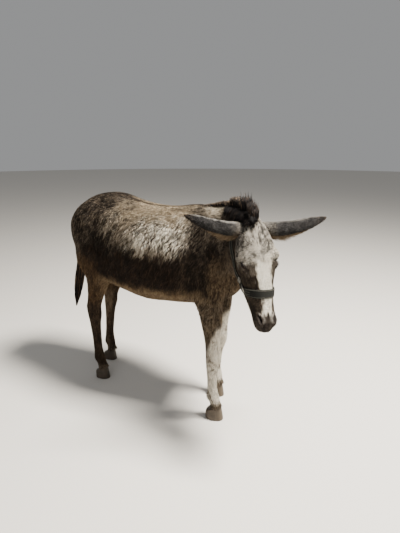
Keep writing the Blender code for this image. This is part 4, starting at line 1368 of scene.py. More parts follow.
def ball_map(points, centre, forward):
    """Longitude and latitude round an axis, for a form without a straight middle line."""
    forward = unit(np.array(forward, float))
    side = unit(np.cross(forward, (0, 0, 1.0)))
    up = np.cross(side, forward)
    way = unit(points - np.array(centre))
    turn = np.arctan2(way @ side, way @ up) / (2 * math.pi) + 0.5
    return turn, np.arccos(np.clip(way @ forward, -1, 1)) / math.pi


def side_map(points):
    """Half the barrel, rolled flat from the spine to the middle of the belly."""
    turn = np.arctan2(np.abs(points[:, 1]), points[:, 2] - 0.92) / math.pi
    return (points[:, 0] + 0.22) / 0.46, turn


def face_map(points):
    face = to_face(points)
    turn = np.arctan2(face[:, 1], face[:, 0] + 0.080) / (2 * math.pi) + 0.5
    return turn, (face[:, 2] + 0.55) / 0.72


def legs_map(points):
    """Each leg of a pair, rolled flat round its own line."""
    turn, height = np.zeros(len(points)), points[:, 2] / 0.95
    for name in LEGS:
        x, y = leg_line(name, points[:, 2])
        mine = ((y > 0) == (points[:, 1] > 0)) & ((points[:, 0] > 0) == (end_of(name) == "front"))
        angle = np.arctan2(points[:, 1] - y, points[:, 0] - x) / (2 * math.pi) + 0.5
        turn[mine] = (0.5 * angle + 0.5 * (y > 0))[mine]
    return turn, height


def region_of(middles):
    """Which part of the coat each place belongs to."""
    x, y, z = middles.T
    front = x > 0
    region = np.where(y < 0, "barrel_right", "barrel_left").astype("U14")
    region[x < -0.20] = "rump"
    region[x > 0.22] = "shoulders"
    region[(past_shoulders(middles) > 0) & (z > 0.80)] = "neck"
    region[neckness(middles) < 0.5] = "head"
    low = (z < np.where(front, 0.62, 0.66)) & ((x > 0.20) | (x < -0.30)) & (region != "head")
    region[low & front] = "legs_front"
    region[low & ~front] = "legs_back"
    return region


# The coat's parts: how many tufts each has, and how its map is rolled flat
COAT_PARTS = {
    "rump": (27000, lambda p: ball_map(p, (-0.33, 0, 0.95), (-1, 0, 0.0))),
    "barrel_right": (25000, side_map),
    "barrel_left": (25000, side_map),
    "shoulders": (22000, lambda p: ball_map(p, (0.34, 0, 0.92), (1, 0, 0.0))),
    "neck": (15000, lambda p: ball_map(p, (0.53, -0.09, 1.04), (0.8, -0.6, 0.1))),
    "head": (32500, face_map),
    "legs_front": (24000, legs_map),
    "legs_back": (26000, legs_map),
}


def hoof_top(points):
    """The height of the hoof's upper edge at each place: it rises forwards."""
    top = np.full(len(points), CORONET[0])
    for name in LEGS:
        x, _ = leg_line(name, CORONET[0])
        mine = np.hypot(points[:, 0] - x, points[:, 1] - LEGS[name][3]) < 0.10
        top[mine] = (CORONET[0] + CORONET[1] * (points[:, 0] - x))[mine]
    return top


def within_map(uv):
    """Keeps the hairs' patches off the edge of the map."""
    return 0.004 + 0.992 * np.clip(uv, 0, 1)


def coat_tufts(name, root, normal, straps):
    """What tuft_mesh needs for the tufts of one part of the coat, growing from these places."""
    n = len(root)
    flow = lie_of_coat(root, normal)
    depth = coat_depth(root)
    woolly = smoothstep(0.0034, 0.0088, depth)
    limb = smoothstep(0.0031, 0.0036, depth)
    nose = smoothstep(0.0029, 0.0021, depth)
    length = (0.0100 + 0.0190 * woolly + 0.0035 * limb) * (1 - 0.5 * nose)
    length *= np.exp(random.normal(0, 0.16, n))
    width = (0.0009 + 0.0011 * woolly + 0.0003 * limb) * (1 - 0.2 * nose)
    width *= np.exp(random.normal(0, 0.14, n))
    behind_fetlock = smoothstep(0.20, 0.16, root[:, 2]) * smoothstep(0.10, 0.12, root[:, 2])
    length = length * (1 + 1.1 * behind_fetlock * (normal[:, 0] < -0.5))
    lift = depth * random.uniform(0.35, 0.95, n)
    colours = hair_colours(look_at(root))
    uv = within_map(np.stack(COAT_PARTS[name][1](root), 1))
    arrays = (root, normal, flow, length, width, lift, *colours, uv)
    if name not in ("head", "neck"):
        return arrays
    keep = ~hidden_by(straps, root, normal, flow)
    return tuple(a[keep] for a in arrays)


def add_body_coat(skin, straps):
    points, normals, triangles = points_of(skin), normals_of(skin), triangles_of(skin)
    middles = points[triangles].mean(1)
    region = region_of(middles)
    weight = np.clip(1 - 1.4 * bareness(middles), 0.0, 1.0) * (middles[:, 2] > hoof_top(middles) + 0.002)
    on_bridge = smoothstep(-0.05, 0.0, to_face(middles)[:, 0])
    weight = weight * np.where(region == "head", 1 + 1.2 * on_bridge, 1.0)
    material = painted_material("coat_hair", 0.72, 0.10)
    for name, (count, _) in COAT_PARTS.items():
        here = region == name
        root, normal = scatter(points, normals, triangles[here], weight[here], count)
        mesh = tuft_mesh(f"coat_{name}", *coat_tufts(name, root, normal, straps))
        finish_piece(f"coat_{name}", mesh, material)


def hidden_by(straps, root, normal, flow):
    """Which tufts lie under a strap from root to tip."""
    covered = np.ones(len(root), bool)
    for places in (root, root + 0.008 * flow):
        hits = [straps.ray_cast(Vector(p), Vector(n), 0.02)[0] for p, n in zip(places, normal)]
        covered &= [hit is not None for hit in hits]
    return covered


# ---------------------------------------------------------------- long locks

# How many locks or tufts there are of each kind: on each ear or lid where there are two. Those of the
# body's coat stand in COAT_PARTS.
HAIR_COUNTS = {
    "upright_mane": 2400,
    "falling_mane": 1100,
    "forelock": 1000,
    "tail": 1500,
    "ear": 8200,
    "ear_fringe": 1300,
    "lashes": 34,
}
# How thick a lock is at each of its four rings, and how light there and at the tip
LOCK_TAPER = (0.75, 1.0, 0.85, 0.55)
LOCK_SHADE = (0.6, 0.9, 1.0, 1.1, 1.15)


def lock_sides():
    """The triangles of a lock's root, three sides and tip, and where each lies in the lock's patch."""
    rings = len(LOCK_TAPER)
    sides, flat = [(0, 2, 1)], [((0, 0.1), (0, 0.9), (0.06, 0.5))]
    for k in range(3):
        low, high = k / 3 + 0.02, (k + 1) / 3 - 0.02
        for ring in range(rings):
            here, there = 0.10 + 0.22 * ring, 0.10 + 0.22 * (ring + 1)
            a, b = 3 * ring + k, 3 * ring + (k + 1) % 3
            if ring == rings - 1:
                sides.append((a, b, 3 * rings))
                flat.append(((here, low), (here, high), (there, (low + high) / 2)))
            else:
                sides += [(a, b, b + 3), (a, b + 3, a + 3)]
                flat.append(((here, low), (here, high), (there, high)))
                flat.append(((here, low), (there, high), (there, low)))
    return sides, np.array(flat) - 0.5


def lock_mesh(name, line, width, colour, place_uv):
    """Tapering three-sided locks. line: locks x 5 points; width: at each lock's root."""
    count = len(line)
    ahead = unit(np.gradient(line, axis=1))
    side = unit(np.cross(ahead, random.normal(0, 1, (count, 1, 3))))
    up = np.cross(ahead, side)
    corners = []
    for ring, taper in enumerate(LOCK_TAPER):
        for k in range(3):
            turn = 2 * math.pi * k / 3
            out = side[:, ring] * math.cos(turn) + up[:, ring] * math.sin(turn)
            corners.append(line[:, ring] + out * (0.5 * taper * width)[:, None])
    corners.append(line[:, -1])
    shade = np.repeat(LOCK_SHADE, (3, 3, 3, 3, 1))
    colours = colour[:, None] * shade[None, :, None]
    sides, flat = lock_sides()
    return hair_piece(name, np.stack(corners, 1), sides, colours, place_uv, flat)


def grid_uv(count):
    """A place of its own for each lock."""
    across = int(math.ceil(math.sqrt(count)))
    k = np.arange(count)
    return (np.stack([k % across, k // across], 1) + 0.5) / across


def black_hair(count, brown=0.25):
    """Colours of black hair, of which this share is more or less brown."""
    share = np.clip(random.random(count) - (1 - brown), 0, 1) / brown
    colour = mixed(np.tile(BLACK, (count, 1)), (0.045, 0.031, 0.022), share * 0.9)
    return colour * np.exp(random.normal(0, 0.2, count))[:, None]


def with_brown_locks(colour, is_brown, brown, low, high):
    """The colours with some locks brown instead, each by its own shade of it."""
    shades = np.array(brown) * random.uniform(low, high, (len(colour), 1))
    return np.where(is_brown[:, None], shades, colour)


def curved(start, end, bow, steps=5):
    """Lines of five points from start to end, pushed aside by bow at the middle."""
    t = np.linspace(0, 1, steps)[None, :, None]
    return start[:, None] * (1 - t) + end[:, None] * t + bow[:, None] * (4 * t * (1 - t))


def lines_from_face(lines):
    return from_face(lines.reshape(-1, 3)).reshape(lines.shape)


def draped(line, surface, lift):
    """The lines lifted out of the surface: each keeps at least its own lift off it."""
    places = line.copy()
    for k in range(len(line)):
        for step in range(1, line.shape[1]):
            nearest, normal, _, _ = surface.find_nearest(Vector(line[k, step]))
            off = (Vector(line[k, step]) - nearest).dot(normal)
            if off < lift[k]:
                places[k, step] = nearest + normal * lift[k]
    return places


def crest_places(share):
    """Rows of the neck at these shares of its length, with the ways along it, to its left and up."""
    table, ahead = neck_table()
    at = share * (len(table) - 1)
    run = unit(rows_at(ahead, at))
    side = unit(np.cross((0, 0, 1.0), run))
    return rows_at(table, at), run, side, unit(np.cross(run, side))


# The mane begins at this share of the neck's length
CREST_FROM = 3 / 33


def upright_mane():
    """Locks that stand along the crest from the withers to the poll: lines, colours and widths."""
    count = HAIR_COUNTS["upright_mane"]
    share = CREST_FROM + (1 - CREST_FROM) * (np.arange(count) + random.random(count)) / count
    row, run, side, up = crest_places(share)
    tall = 0.008 + 0.056 * np.sin(0.5 * math.pi * np.minimum(1.0, share / 0.85)) ** 3
    aside = random.uniform(-1, 1, count)
    start = row[:, :3] + up * (row[:, 4] - 0.010)[:, None] + side * (0.015 * aside)[:, None]
    clump = noise(row[:, :3], 0.013, 21)
    stray = (random.random(count) < 0.16) * peak(share, 0.84, 0.10)
    height = 0.010 + tall * (0.55 + 0.55 * clump) * random.uniform(0.80, 1.05, count) * (1 + 0.40 * stray)
    height += 0.010 * peak(share, 0.86, 0.07)
    lean = side * (0.012 * aside * clump + random.normal(0, 0.004, count))[:, None]
    sweep = 0.034 * (noise(row[:, :3], 0.017, 22) - 0.5) + random.normal(-0.003, 0.004, count)
    end = start + up * height[:, None] + lean + run * sweep[:, None]
    bow = side * random.normal(0, 0.003, count)[:, None]
    colour = black_hair(count, 0.30)
    is_brown = random.random(count) < 0.36 * smoothstep(0.88, 0.45, share)
    colour = with_brown_locks(colour, is_brown, (0.15, 0.11, 0.075), 0.4, 1.1)
    return curved(start, end, bow), colour, random.uniform(0.0020, 0.0036, count)


def falling_mane(surface):
    """Long locks that fall to the right of the neck: lines, colours and widths."""
    count = HAIR_COUNTS["falling_mane"]
    share = random.uniform(0.50, 0.985, count)
    row, run, side, up = crest_places(share)
    start = row[:, :3] + up * (row[:, 4] - 0.006)[:, None]
    start += side * random.uniform(-0.014, 0.006, count)[:, None]
    clump = noise(row[:, :3], 0.015, 23)
    reach = (0.30 + 0.75 * clump) * random.uniform(0.6, 1.1, count)
    reach *= 0.40 + 0.60 * np.sin(math.pi * (share - 0.42) / 0.60)
    end = start - side * (0.055 * reach + 0.004)[:, None] - up * (0.085 * reach)[:, None]
    end += run * (0.030 * (clump - 0.5) + random.normal(0, 0.006, count))[:, None]
    bow = up * random.normal(0.010, 0.006, count)[:, None] * reach[:, None]
    lift = random.uniform(0.0015, 0.006, count) + 0.008 * clump * random.random(count)
    line = draped(curved(start, end, bow), surface, lift)
    return line, black_hair(count, 0.15), random.uniform(0.0022, 0.0036, count)


def add_mane(material, surface):
    parts = upright_mane(), falling_mane(surface)
    line, colour, width = (np.concatenate(part) for part in zip(*parts))
    mesh = lock_mesh("mane_hair", line, width, colour, grid_uv(len(line)))
    finish_piece("mane_hair", mesh, material, ("mane",))


def add_forelock(material, surface):
    """The tuft between the ears, that stands up at the poll and falls to a point on the brow."""
    count = HAIR_COUNTS["forelock"]
    spread = random.normal(0, 0.5, (count, 2)).clip(-1, 1)
    ahead, aside = spread.T
    high = random.random(count)
    start = np.stack([-0.050 + 0.022 * ahead, -0.008 + 0.018 * aside, 0.014 + 0.012 * high], 1)
    falls = random.random(count)
    pointed = 1 - 0.55 * np.abs(aside) ** 1.2 - 0.25 * random.random(count)
    end = np.stack([
        -0.020 + 0.030 * falls,
        -0.016 - 0.010 * falls + (0.030 - 0.012 * falls) * aside + random.normal(0, 0.004, count),
        0.056 - 0.118 * pointed * falls ** 0.8,
    ], 1)
    bow = np.stack([0.010 * falls, 0.003 * aside, 0.018 * falls], 1)
    line = lines_from_face(curved(start, end, bow))
    line = draped(line, surface, random.uniform(0.002, 0.016, count))
    width = random.uniform(0.0018, 0.0032, count)
    mesh = lock_mesh("forelock_hair", line, width, 0.7 * black_hair(count, 0.08), grid_uv(count))
    finish_piece("forelock_hair", mesh, material, ("forelock",))


# How thick the dark core of the tail's long hair is, as a share of the hair
TAIL_CORE = 0.72
# The long hair of the tail: x, y, z, half width, half depth
SWITCH = (
    (-0.648, -0.010, 0.835, 0.021, 0.019),
    (-0.658, -0.014, 0.760, 0.028, 0.024),
    (-0.674, -0.020, 0.660, 0.034, 0.028),
    (-0.692, -0.030, 0.550, 0.029, 0.023),
    (-0.705, -0.036, 0.480, 0.018, 0.014),
    (-0.714, -0.040, 0.430, 0.005, 0.004),
)


def add_tail(material):
    """Long locks that hang from the lower dock and close to a point, over a dark core."""
    count = HAIR_COUNTS["tail"]
    table = smooth_rows(DOCK[3:] + SWITCH[1:], 60)
    turn = random.uniform(0, 2 * math.pi, count)
    out = np.sqrt(random.random(count))
    begin = random.uniform(0.0, 0.42, count)
    reach = np.minimum(1.0, begin + random.uniform(0.38, 0.75, count))
    line = np.empty((count, 5, 3))
    for k, t in enumerate(np.linspace(0, 1, 5)):
        row = rows_at(table, (begin + (reach - begin) * t) * (len(table) - 1))
        swell = out * min(1.0, 0.55 + 0.6 * t)
        wave = 0.0025 * np.sin(9 * t + turn * 3)
        line[:, k] = row[:, :3]
        line[:, k, 1] += np.cos(turn) * row[:, 3] * swell + wave
        line[:, k, 0] += np.sin(turn) * row[:, 4] * swell
    width = random.uniform(0.0024, 0.0046, count)
    colour = black_hair(count, 0.3)
    colour = with_brown_locks(colour, random.random(count) < 0.13, (0.13, 0.080, 0.045), 0.4, 1.2)
    mesh = lock_mesh("tail_hair", line, width, colour, grid_uv(count))
    finish_piece("tail_hair", mesh, material, ("tail_switch",))
    core = loft("tail_core", [ring[::2] for ring in strand_rings(SWITCH, TAIL_CORE)])
    core.shade_smooth()
    paint(core, np.tile(BLACK, (len(core.vertices), 1)))
    finish_piece("tail_core", with_modifier(core, "TRIANGULATE"), material)


# ---------------------------------------------------------------- ears

# How much wider than deep the curl is, which way it opens, how far the ear sags, and how far its bare skin
# lies inside the hair
EAR_FLATNESS = 1.15
EAR_OPENING = (-0.50, 0.30, -0.80)
EAR_SAG = 0.022
EAR_INSET = 0.0018
# Where the left ear grows, in the head's frame
EAR_ROOT = (-0.066, 0.042, -0.022)
EAR_STEPS = 34
EAR_AROUND = 25
# From root to tip: share of the length, radius of the curl, degrees that it wraps each way, thickness
EAR_RINGS = np.array((
    (0.00, 0.031, 156, 0.010),
    (0.10, 0.032, 146, 0.010),
    (0.22, 0.034, 128, 0.009),
    (0.36, 0.035, 110, 0.009),
    (0.52, 0.034, 100, 0.008),
    (0.68, 0.031, 92, 0.007),
    (0.82, 0.024, 86, 0.006),
    (0.93, 0.014, 82, 0.005),
    (1.00, 0.005, 80, 0.003),
))


def ear_places(side, s, t, turn, level):
    """Points of an ear: t along it, turn from -1 to 1 round its curl, level 1 outside and 0 inside."""
    root = np.array(HEAD @ Vector(mirrored(EAR_ROOT, s)))
    tip = np.array(EAR_TIPS[side])
    along = unit(tip - root)
    opening = np.array(EAR_OPENING)
    opening = unit(opening - (opening @ along) * along)
    across = np.cross(along, opening)
    _, radius, wrap, wall = rows_at(EAR_RINGS, t, EAR_RINGS[:, 0]).T
    inner = np.maximum(radius - wall, 0.25 * radius) + 0.5 * EAR_INSET
    outer = np.maximum(radius - EAR_INSET, 0.4 * radius)
    r = inner + (outer - inner) * level
    angle = np.radians(wrap) * turn
    middle = root + (tip - root) * t[:, None]
    middle -= np.array((0, 0, 1)) * (EAR_SAG * np.sin(math.pi * t))[:, None]
    out = across * (EAR_FLATNESS * np.sin(angle))[:, None] - opening * np.cos(angle)[:, None]
    return middle + out * r[:, None]


def ear_look(s, t, turn, level, facing_up):
    """Dark grey outside with a painted highlight along the top where the hair faces up, weaker on the left
    ear, darker along the rim and at the tip, tan inside.
    """
    n = len(t)
    look = Look(n, "ear_back")
    place = np.stack([t * 0.30, turn * 0.05, np.full(n, 0.3 * s)], 1)
    blots = noise(place, 0.016, 12 + s) - 0.5
    # Painted highlight: hair that faces up is made lighter, as though lit from above, and on the left ear
    # only about half as much, as painted shade
    top_highlight = level * smoothstep(0.84, 0.985, facing_up + 0.10 * blots) * (1.0 if s < 0 else 0.55)
    look.lay(top_highlight, "ear_top_highlight")
    look.lay(1 - level, "ear_inside")
    look.lay(smoothstep(0.80, 0.97, np.abs(turn)) * 0.6, "ear_rim")
    look.lay(smoothstep(0.78, 0.98, t), "ear_tip")
    look.lay(0.85 * level * smoothstep(0.30, 0.08, t + 0.25 * blots), "ear_foot")
    look.lay(0.8 * smoothstep(0.26, 0.10, t) * smoothstep(0.3, 0.8, np.abs(turn)), "ear_foot_edge")
    look.share = np.clip(look.share + 0.7 * blots, 0.03, 0.97)
    return look


def add_ear_skin(side, s, material):
    """An ear's closed shell: rings that run round its outside and back along its inside."""
    turns = np.linspace(-1, 1, EAR_AROUND)
    turn = np.concatenate([turns, turns[::-1]])
    level = np.repeat((1.0, 0.0), EAR_AROUND)
    steps = np.linspace(0, 1, EAR_STEPS)
    mesh = loft(f"ear_{side}", [ear_places(side, s, np.full(len(turn), t), turn, level) for t in steps])
    up = normals_of(mesh)[:, 2]
    look = ear_look(s, np.repeat(steps, len(turn)), np.tile(turn, EAR_STEPS), np.tile(level, EAR_STEPS), up)
    # The skin under the ear's hair gets three quarters of the hair's colours: painted shade between the
    # hairs
    paint(mesh, mixed(look.dark, look.light, look.share) * 0.75)
    mesh.shade_smooth()
    mesh = with_modifier(mesh, "TRIANGULATE")
    finish_piece(f"ear_skin_{side}", mesh, material, (f"ear_{side}",))


def ear_tufts(side, s, index):
    """What tuft_mesh needs for an ear's short hair, outside and inside."""
    count = HAIR_COUNTS["ear"]
    t = random.random(count) ** 0.9 * 0.985
    turn = random.uniform(-1, 1, count)
    level = (random.random(count) < 0.74).astype(float)
    small = 0.004
    root = ear_places(side, s, t, turn, level)
    ahead = unit(ear_places(side, s, np.minimum(t + small, 1), turn, level) - root + 1e-9)
    before = ear_places(side, s, t, np.clip(turn - small, -1.01, 1), level)
    around = ear_places(side, s, t, np.clip(turn + small, -1, 1.01), level) - before
    normal = unit(np.cross(ahead, around))
    outward = ear_places(side, s, t, turn, level * 0 + 1.0) - ear_places(side, s, t, turn, level * 0)
    normal *= np.sign(np.sum(normal * outward, axis=1) * (2 * level - 1) + 1e-9)[:, None]
    ahead = unit(ahead - normal * np.sum(ahead * normal, axis=1)[:, None] + 1e-9)
    edge = smoothstep(0.80, 1.0, np.abs(turn))
    swirl = random.normal(0, 0.16, count) + 0.5 * edge * np.sign(turn)
    aside = np.cross(normal, ahead)
    flow = unit(ahead * np.cos(swirl)[:, None] + aside * np.sin(swirl)[:, None])
    length = (0.0085 + 0.004 * edge + 0.004 * (1 - level)) * np.exp(random.normal(0, 0.15, count))
    length *= 1 - 0.4 * smoothstep(0.85, 1.0, t)
    width = 0.0014 * np.exp(random.normal(0, 0.15, count))
    lift = random.uniform(0.0006, 0.0020, count) + 0.003 * (1 - level) * random.random(count)
    colours = hair_colours(ear_look(s, t, turn, level, normal[:, 2]))
    uv = np.stack([0.5 * (turn * 0.24 + 0.25 + 0.5 * (1 - level)) + 0.5 * index, t], 1)
    return root, normal, flow, length, width, lift, *colours, within_map(uv)


def ear_fringe(side, s):
    """Tan locks that hang over an ear's opening from its edges: lines, widths and colours."""
    count = HAIR_COUNTS["ear_fringe"]
    t = random.uniform(0.02, 0.66, count)
    way = np.where(random.random(count) < 0.5, -1.0, 1.0)
    turn = way * random.uniform(0.72, 1.0, count)
    level = random.random(count) * 0.8
    start = ear_places(side, s, t, turn, level)
    over = ear_places(side, s, np.minimum(t + 0.16, 1), turn * 0.80, level)
    hang = (0.012 + 0.026 * peak(t, 0.28, 0.20)) * random.uniform(0.35, 1.0, count)
    sag = np.outer(hang, (0, 0, -1))
    end = start + (over - start) * random.uniform(0.35, 0.75, count)[:, None] + sag
    colour = np.array((0.28, 0.198, 0.118)) * random.uniform(0.25, 1.10, (count, 1))
    return curved(start, end, sag * 0.2), random.uniform(0.0010, 0.0018, count), colour


def add_ears(skin_material, hair_material):
    tufts, locks = [], []
    for index, (side, s) in enumerate(SIDES):
        add_ear_skin(side, s, skin_material)
        tufts.append(ear_tufts(side, s, index))
        locks.append(ear_fringe(side, s))
    whole = [np.concatenate(parts) for parts in zip(*tufts)]
    finish_piece("coat_ears", tuft_mesh("coat_ears", *whole), hair_material)
    line, width, colour = (np.concatenate(parts) for parts in zip(*locks))
    mesh = lock_mesh("ear_fringe", line, width, colour, grid_uv(len(line)))
    finish_piece("ear_fringe", mesh, hair_material)


# ---------------------------------------------------------------- eyes and lashes


# The eye's colours: the dark round the iris, the iris and the pupil
EYE_RIM = (0.022, 0.015, 0.011)
IRIS = (0.030, 0.014, 0.006)
PUPIL = (0.004, 0.004, 0.005)
# Half the pupil's length and height, as shares of the ball's radius
PUPIL_SIZE = (0.34, 0.16)
# How much further the cornea stands out than the ball, and the angle from its middle that it reaches
CORNEA = (0.07, 0.52)


def add_eyeballs():
    """Round eyeballs with a bulging cornea, a dark brown iris and a pupil that lies level."""
    material = painted_material("eye", 0.10, 0.16)
    bulge, reach = CORNEA
    for side, s in SIDES:
        look, corner, brow = eye_axes(s)
        ball = ellipsoid(f"eye_{side}_ball", (0, 0, 0), (1, 1, 1), segments=72)
        way = unit(points_of(ball))
        ahead, along, across = way @ look, way @ corner, way @ brow
        cornea = np.exp(-((np.arccos(np.clip(ahead, -1, 1)) / reach) ** 4))
        off = np.hypot(along, across)
        iris = smoothstep(0.60, 0.54, off) * (ahead > 0)
        around = np.arctan2(across, along)
        streaks = 0.75 + 0.5 * noise(np.stack([around * 3, off * 2, off * 0], 1), 0.12, 15)
        colour = mixed(np.tile(EYE_RIM, (len(way), 1)), IRIS, iris) * streaks[:, None]
        off_pupil = np.hypot(along / PUPIL_SIZE[0], across / PUPIL_SIZE[1])
        pupil = smoothstep(1.06, 0.94, off_pupil) * (ahead > 0)
        radius = EYE_BALL * (1 + bulge * cornea)
        move_points(ball, from_face(mirrored(EYE_PLACE, s) + way * radius[:, None]))
        paint(ball, mixed(colour, PUPIL, pupil))
        ball.shade_smooth()
        ball = with_modifier(ball, "TRIANGULATE")
        finish_piece(f"eyeball_{side}", ball, material, (f"eye_{side}",))


def add_lashes(material):
    """A row of lashes along each upper lid, that point out and down."""
    lines, widths = [], []
    for _, s in SIDES:
        look, corner, brow = eye_axes(s)
        count = HAIR_COUNTS["lashes"]
        along = np.linspace(-0.86, 0.62, count) + random.normal(0, 0.02, count)
        across = SLIT[1] * (1 - (along / SLIT[0]) ** 2) + 0.05
        way = np.outer(np.cos(across) * np.cos(along), look)
        way += np.outer(np.cos(across) * np.sin(along), corner) + np.outer(np.sin(across), brow)
        start = mirrored(EYE_PLACE, s) + way * (EYE_BALL + 0.0018)
        long = random.uniform(0.007, 0.013, count)[:, None]
        aside = 0.35 * along[:, None] + random.normal(0, 0.12, (count, 1))
        end = start + unit(way * 0.9 - brow * 0.50 + corner * aside) * long
        lines.append(lines_from_face(curved(start, end, -brow * long * 0.14)))
        widths.append(random.uniform(0.0007, 0.0011, count))
    line, width = np.concatenate(lines), np.concatenate(widths)
    mesh = lock_mesh("eyelashes", line, width, np.tile(BLACK, (len(line), 1)) * 0.8, grid_uv(len(line)))
    finish_piece("eyelashes", mesh, material)


# ---------------------------------------------------------------- hooves

# The hoof's outline from sole to coronet: share of the height, toe, heel, half width
HOOF_RINGS = np.array((
    (0.00, 0.0635, -0.036, 0.0368),
    (0.03, 0.0665, -0.038, 0.0395),
    (0.50, 0.060, -0.038, 0.040),
    (0.90, 0.053, -0.036, 0.039),
    (1.00, 0.049, -0.033, 0.035),
))
# How large the hooves of each end are, and how dark their horn: the hind hooves darker, as painted shade
HOOF_SIZE = {"front": 1.0, "back": 0.93}
HOOF_TONE_AND_SHADE = {"front": 0.85, "back": 0.60}
HOOF_DARK = (0.020, 0.014, 0.010)
HOOF_LIGHT = (0.128, 0.094, 0.060)
HOOF_WORN = (0.150, 0.125, 0.095)
HOOF_BAND = (0.105, 0.080, 0.058)
# The height of the growth rings that run round the wall
GROWTH = 0.00022


def hoof_colours(out, share, foot_x):
    """Horn streaked down and ringed round, worn pale at the sole, with a band under the coronet."""
    turn = np.arctan2(out[:, 1], out[:, 0])
    on_wall = np.stack([turn, np.full(len(turn), share), np.full(len(turn), foot_x)], 1)
    tubules = noise(on_wall * (11, 0.7, 1), 0.5, 16)
    growth_lines = noise(on_wall * (0.6, 14, 1), 0.5, 17)
    stains = noise(on_wall * (0.9, 1.8, 1), 0.5, 18)
    lightness = 0.05 + 0.30 * tubules + 0.30 * growth_lines + 0.35 * stains
    worn = smoothstep(0.22, 0.0, share + 0.10 * (stains - 0.5)) * (0.35 + 0.65 * tubules)
    band = np.full(len(turn), 0.45 * smoothstep(0.86, 0.97, share))
    colour = mixed(mixed(HOOF_DARK, HOOF_LIGHT, lightness), HOOF_WORN, 0.55 * worn)
    return mixed(colour, HOOF_BAND, band)


def add_hooves():
    grain = {"grain": 0.16, "grain_size": 260.0, "bump": 0.25, "stretch": (1, 1, 0.12)}
    material = painted_material("horn", 0.50, 0.35, **grain)
    shares = np.concatenate([[0.0, 0.015, 0.03], np.linspace(0.06, 0.97, 38), [0.99, 1.0]])
    for name, (_, _, foot_x, foot_y) in LEGS.items():
        rings, colours = [], []
        middle = np.array((foot_x, foot_y, 0))
        coronet_x = leg_place(name, CORONET[0])[0]
        for share in shares:
            _, toe, heel, half = HOOF_SIZE[end_of(name)] * rows_at(HOOF_RINGS, share, HOOF_RINGS[:, 0])
            ring = oval(middle, (0, 1, 0), (1, 0, 0), half, toe, -heel, -0.06)
            out = unit(ring - middle)
            waves = math.sin(share * 46 + 1.5 * math.sin(share * 9))
            ring += out * (GROWTH * waves * min(1.0, share * 8) * min(1.0, (1 - share) * 8))
            ring[:, 2] = share * (CORONET[0] + CORONET[1] * (ring[:, 0] - coronet_x) - 0.0004)
            rings.append(ring)
            colours.append(HOOF_TONE_AND_SHADE[end_of(name)] * hoof_colours(out, share, foot_x))
        mesh = loft(f"horn_{name}", rings)
        paint(mesh, np.concatenate(colours))
        mesh.shade_smooth()
        mesh = with_modifier(mesh, "TRIANGULATE")
        finish_piece(f"horn_{name}", mesh, material, (f"hoof_{name}",))


# ---------------------------------------------------------------- the headcollar

# How far a strap's outer and inner faces stand off the coat's outer surface, and how much of its thickness
# its long edges lose
STRAP_OUTER = 0.0030
STRAP_INNER = -0.0012
STRAP_ROUNDING = 0.35
STRAP_LANES = 11
# How far a fold of the noseband lies over the strap, and between which of its stations on each side
FOLD_RISE = 0.0026
FOLDS = (("left", 22, 50), ("right", 82, 110))
# A stitch's length, half width and half thickness, how far its ends reach on into the webbing, and how far
# apart stitches begin
STITCH = (0.0034, 0.00045, 0.00035)
STITCH_END = 0.0001
STITCH_STEP = 0.0052
WEBBING = (0.0095, 0.0096, 0.0082)
THREAD = (0.20, 0.19, 0.15)
METAL = (0.42, 0.40, 0.36)
# The two ends of the noseband's middle line and of the crown strap's, and the middle line of the cheek
# strap, in the head's x and z
NOSEBAND = ((0.060, -0.366), (-0.280, -0.254))
CROWN = ((-0.128, -0.050), (-0.104, 0.150))
CHEEK = ((-0.105, -0.300), (-0.155, -0.190), (-0.130, -0.060))
NOSEBAND_WIDTH = 0.038
CROWN_WIDTH = 0.025
CHEEK_WIDTH = 0.024
# The places inside the head round which the noseband and the crown strap run
NOSEBAND_MIDDLE = (-0.095, 0, -0.3149)
CROWN_MIDDLE = (-0.1292, 0, -0.060)
# The side ring: its place in the head's x and z, its radius and its bar's
RING_PLACE = (-0.101, -0.302)
RING_RADIUS = 0.0185
RING_BAR = 0.0021
# The buckle's half size along the strap and across it, its frame's bar and its tongue's, and its station on
# the strap
BUCKLE_SIZE = (0.0095, 0.0150)
FRAME_BAR = 0.0014
TONGUE_BAR = 0.0011
BUCKLE_STATION = 11


def outline_hull(points):
    """The convex outline round points of a plane, in order."""
    order = sorted(map(tuple, points))
    chains = []
    for run in (order, order[::-1]):
        chain = []
        for p in run:
            while len(chain) > 1:
                a, b = chain[-2:]
                if (b[0] - a[0]) * (p[1] - a[1]) - (b[1] - a[1]) * (p[0] - a[0]) > 0:
                    break
                chain.pop()
            chain.append(p)
        chains += chain[:-1]
    return np.array(chains)


def hull_radius(angles, radii):
    """The radii of a strap pulled tight round an outline, at the same angles."""
    hull = outline_hull(np.stack([radii * np.cos(angles), radii * np.sin(angles)], 1))
    ends = np.roll(hull, -1, axis=0)
    tight = radii.copy()
    for k, angle in enumerate(angles):
        way = np.array((math.cos(angle), math.sin(angle)))
        span = ends - hull
        cross = way[0] * span[:, 1] - way[1] * span[:, 0]
        cross = np.where(np.abs(cross) < 1e-12, 1e-12, cross)
        distance = (hull[:, 0] * span[:, 1] - hull[:, 1] * span[:, 0]) / cross
        share = (hull[:, 0] * way[1] - hull[:, 1] * way[0]) / cross
        hits = (share > -1e-6) & (share < 1 + 1e-6) & (distance > 0)
        if hits.any():
            tight[k] = max(radii[k], distance[hits].max())
    return tight


def cast(tree, start, way):
    """Where a ray of the head's frame first meets the surface, in that frame, and the surface's normal."""
    start_b, way_b = from_face(start[None])[0], HEAD_ARRAY[:3, :3] @ way
    hit, normal, _, _ = tree.ray_cast(Vector(start_b), Vector(way_b).normalized())
    if hit is None:
        return None, None
    return to_face(np.array(hit)[None])[0], unit(HEAD_ARRAY[:3, :3].T @ np.array(normal))


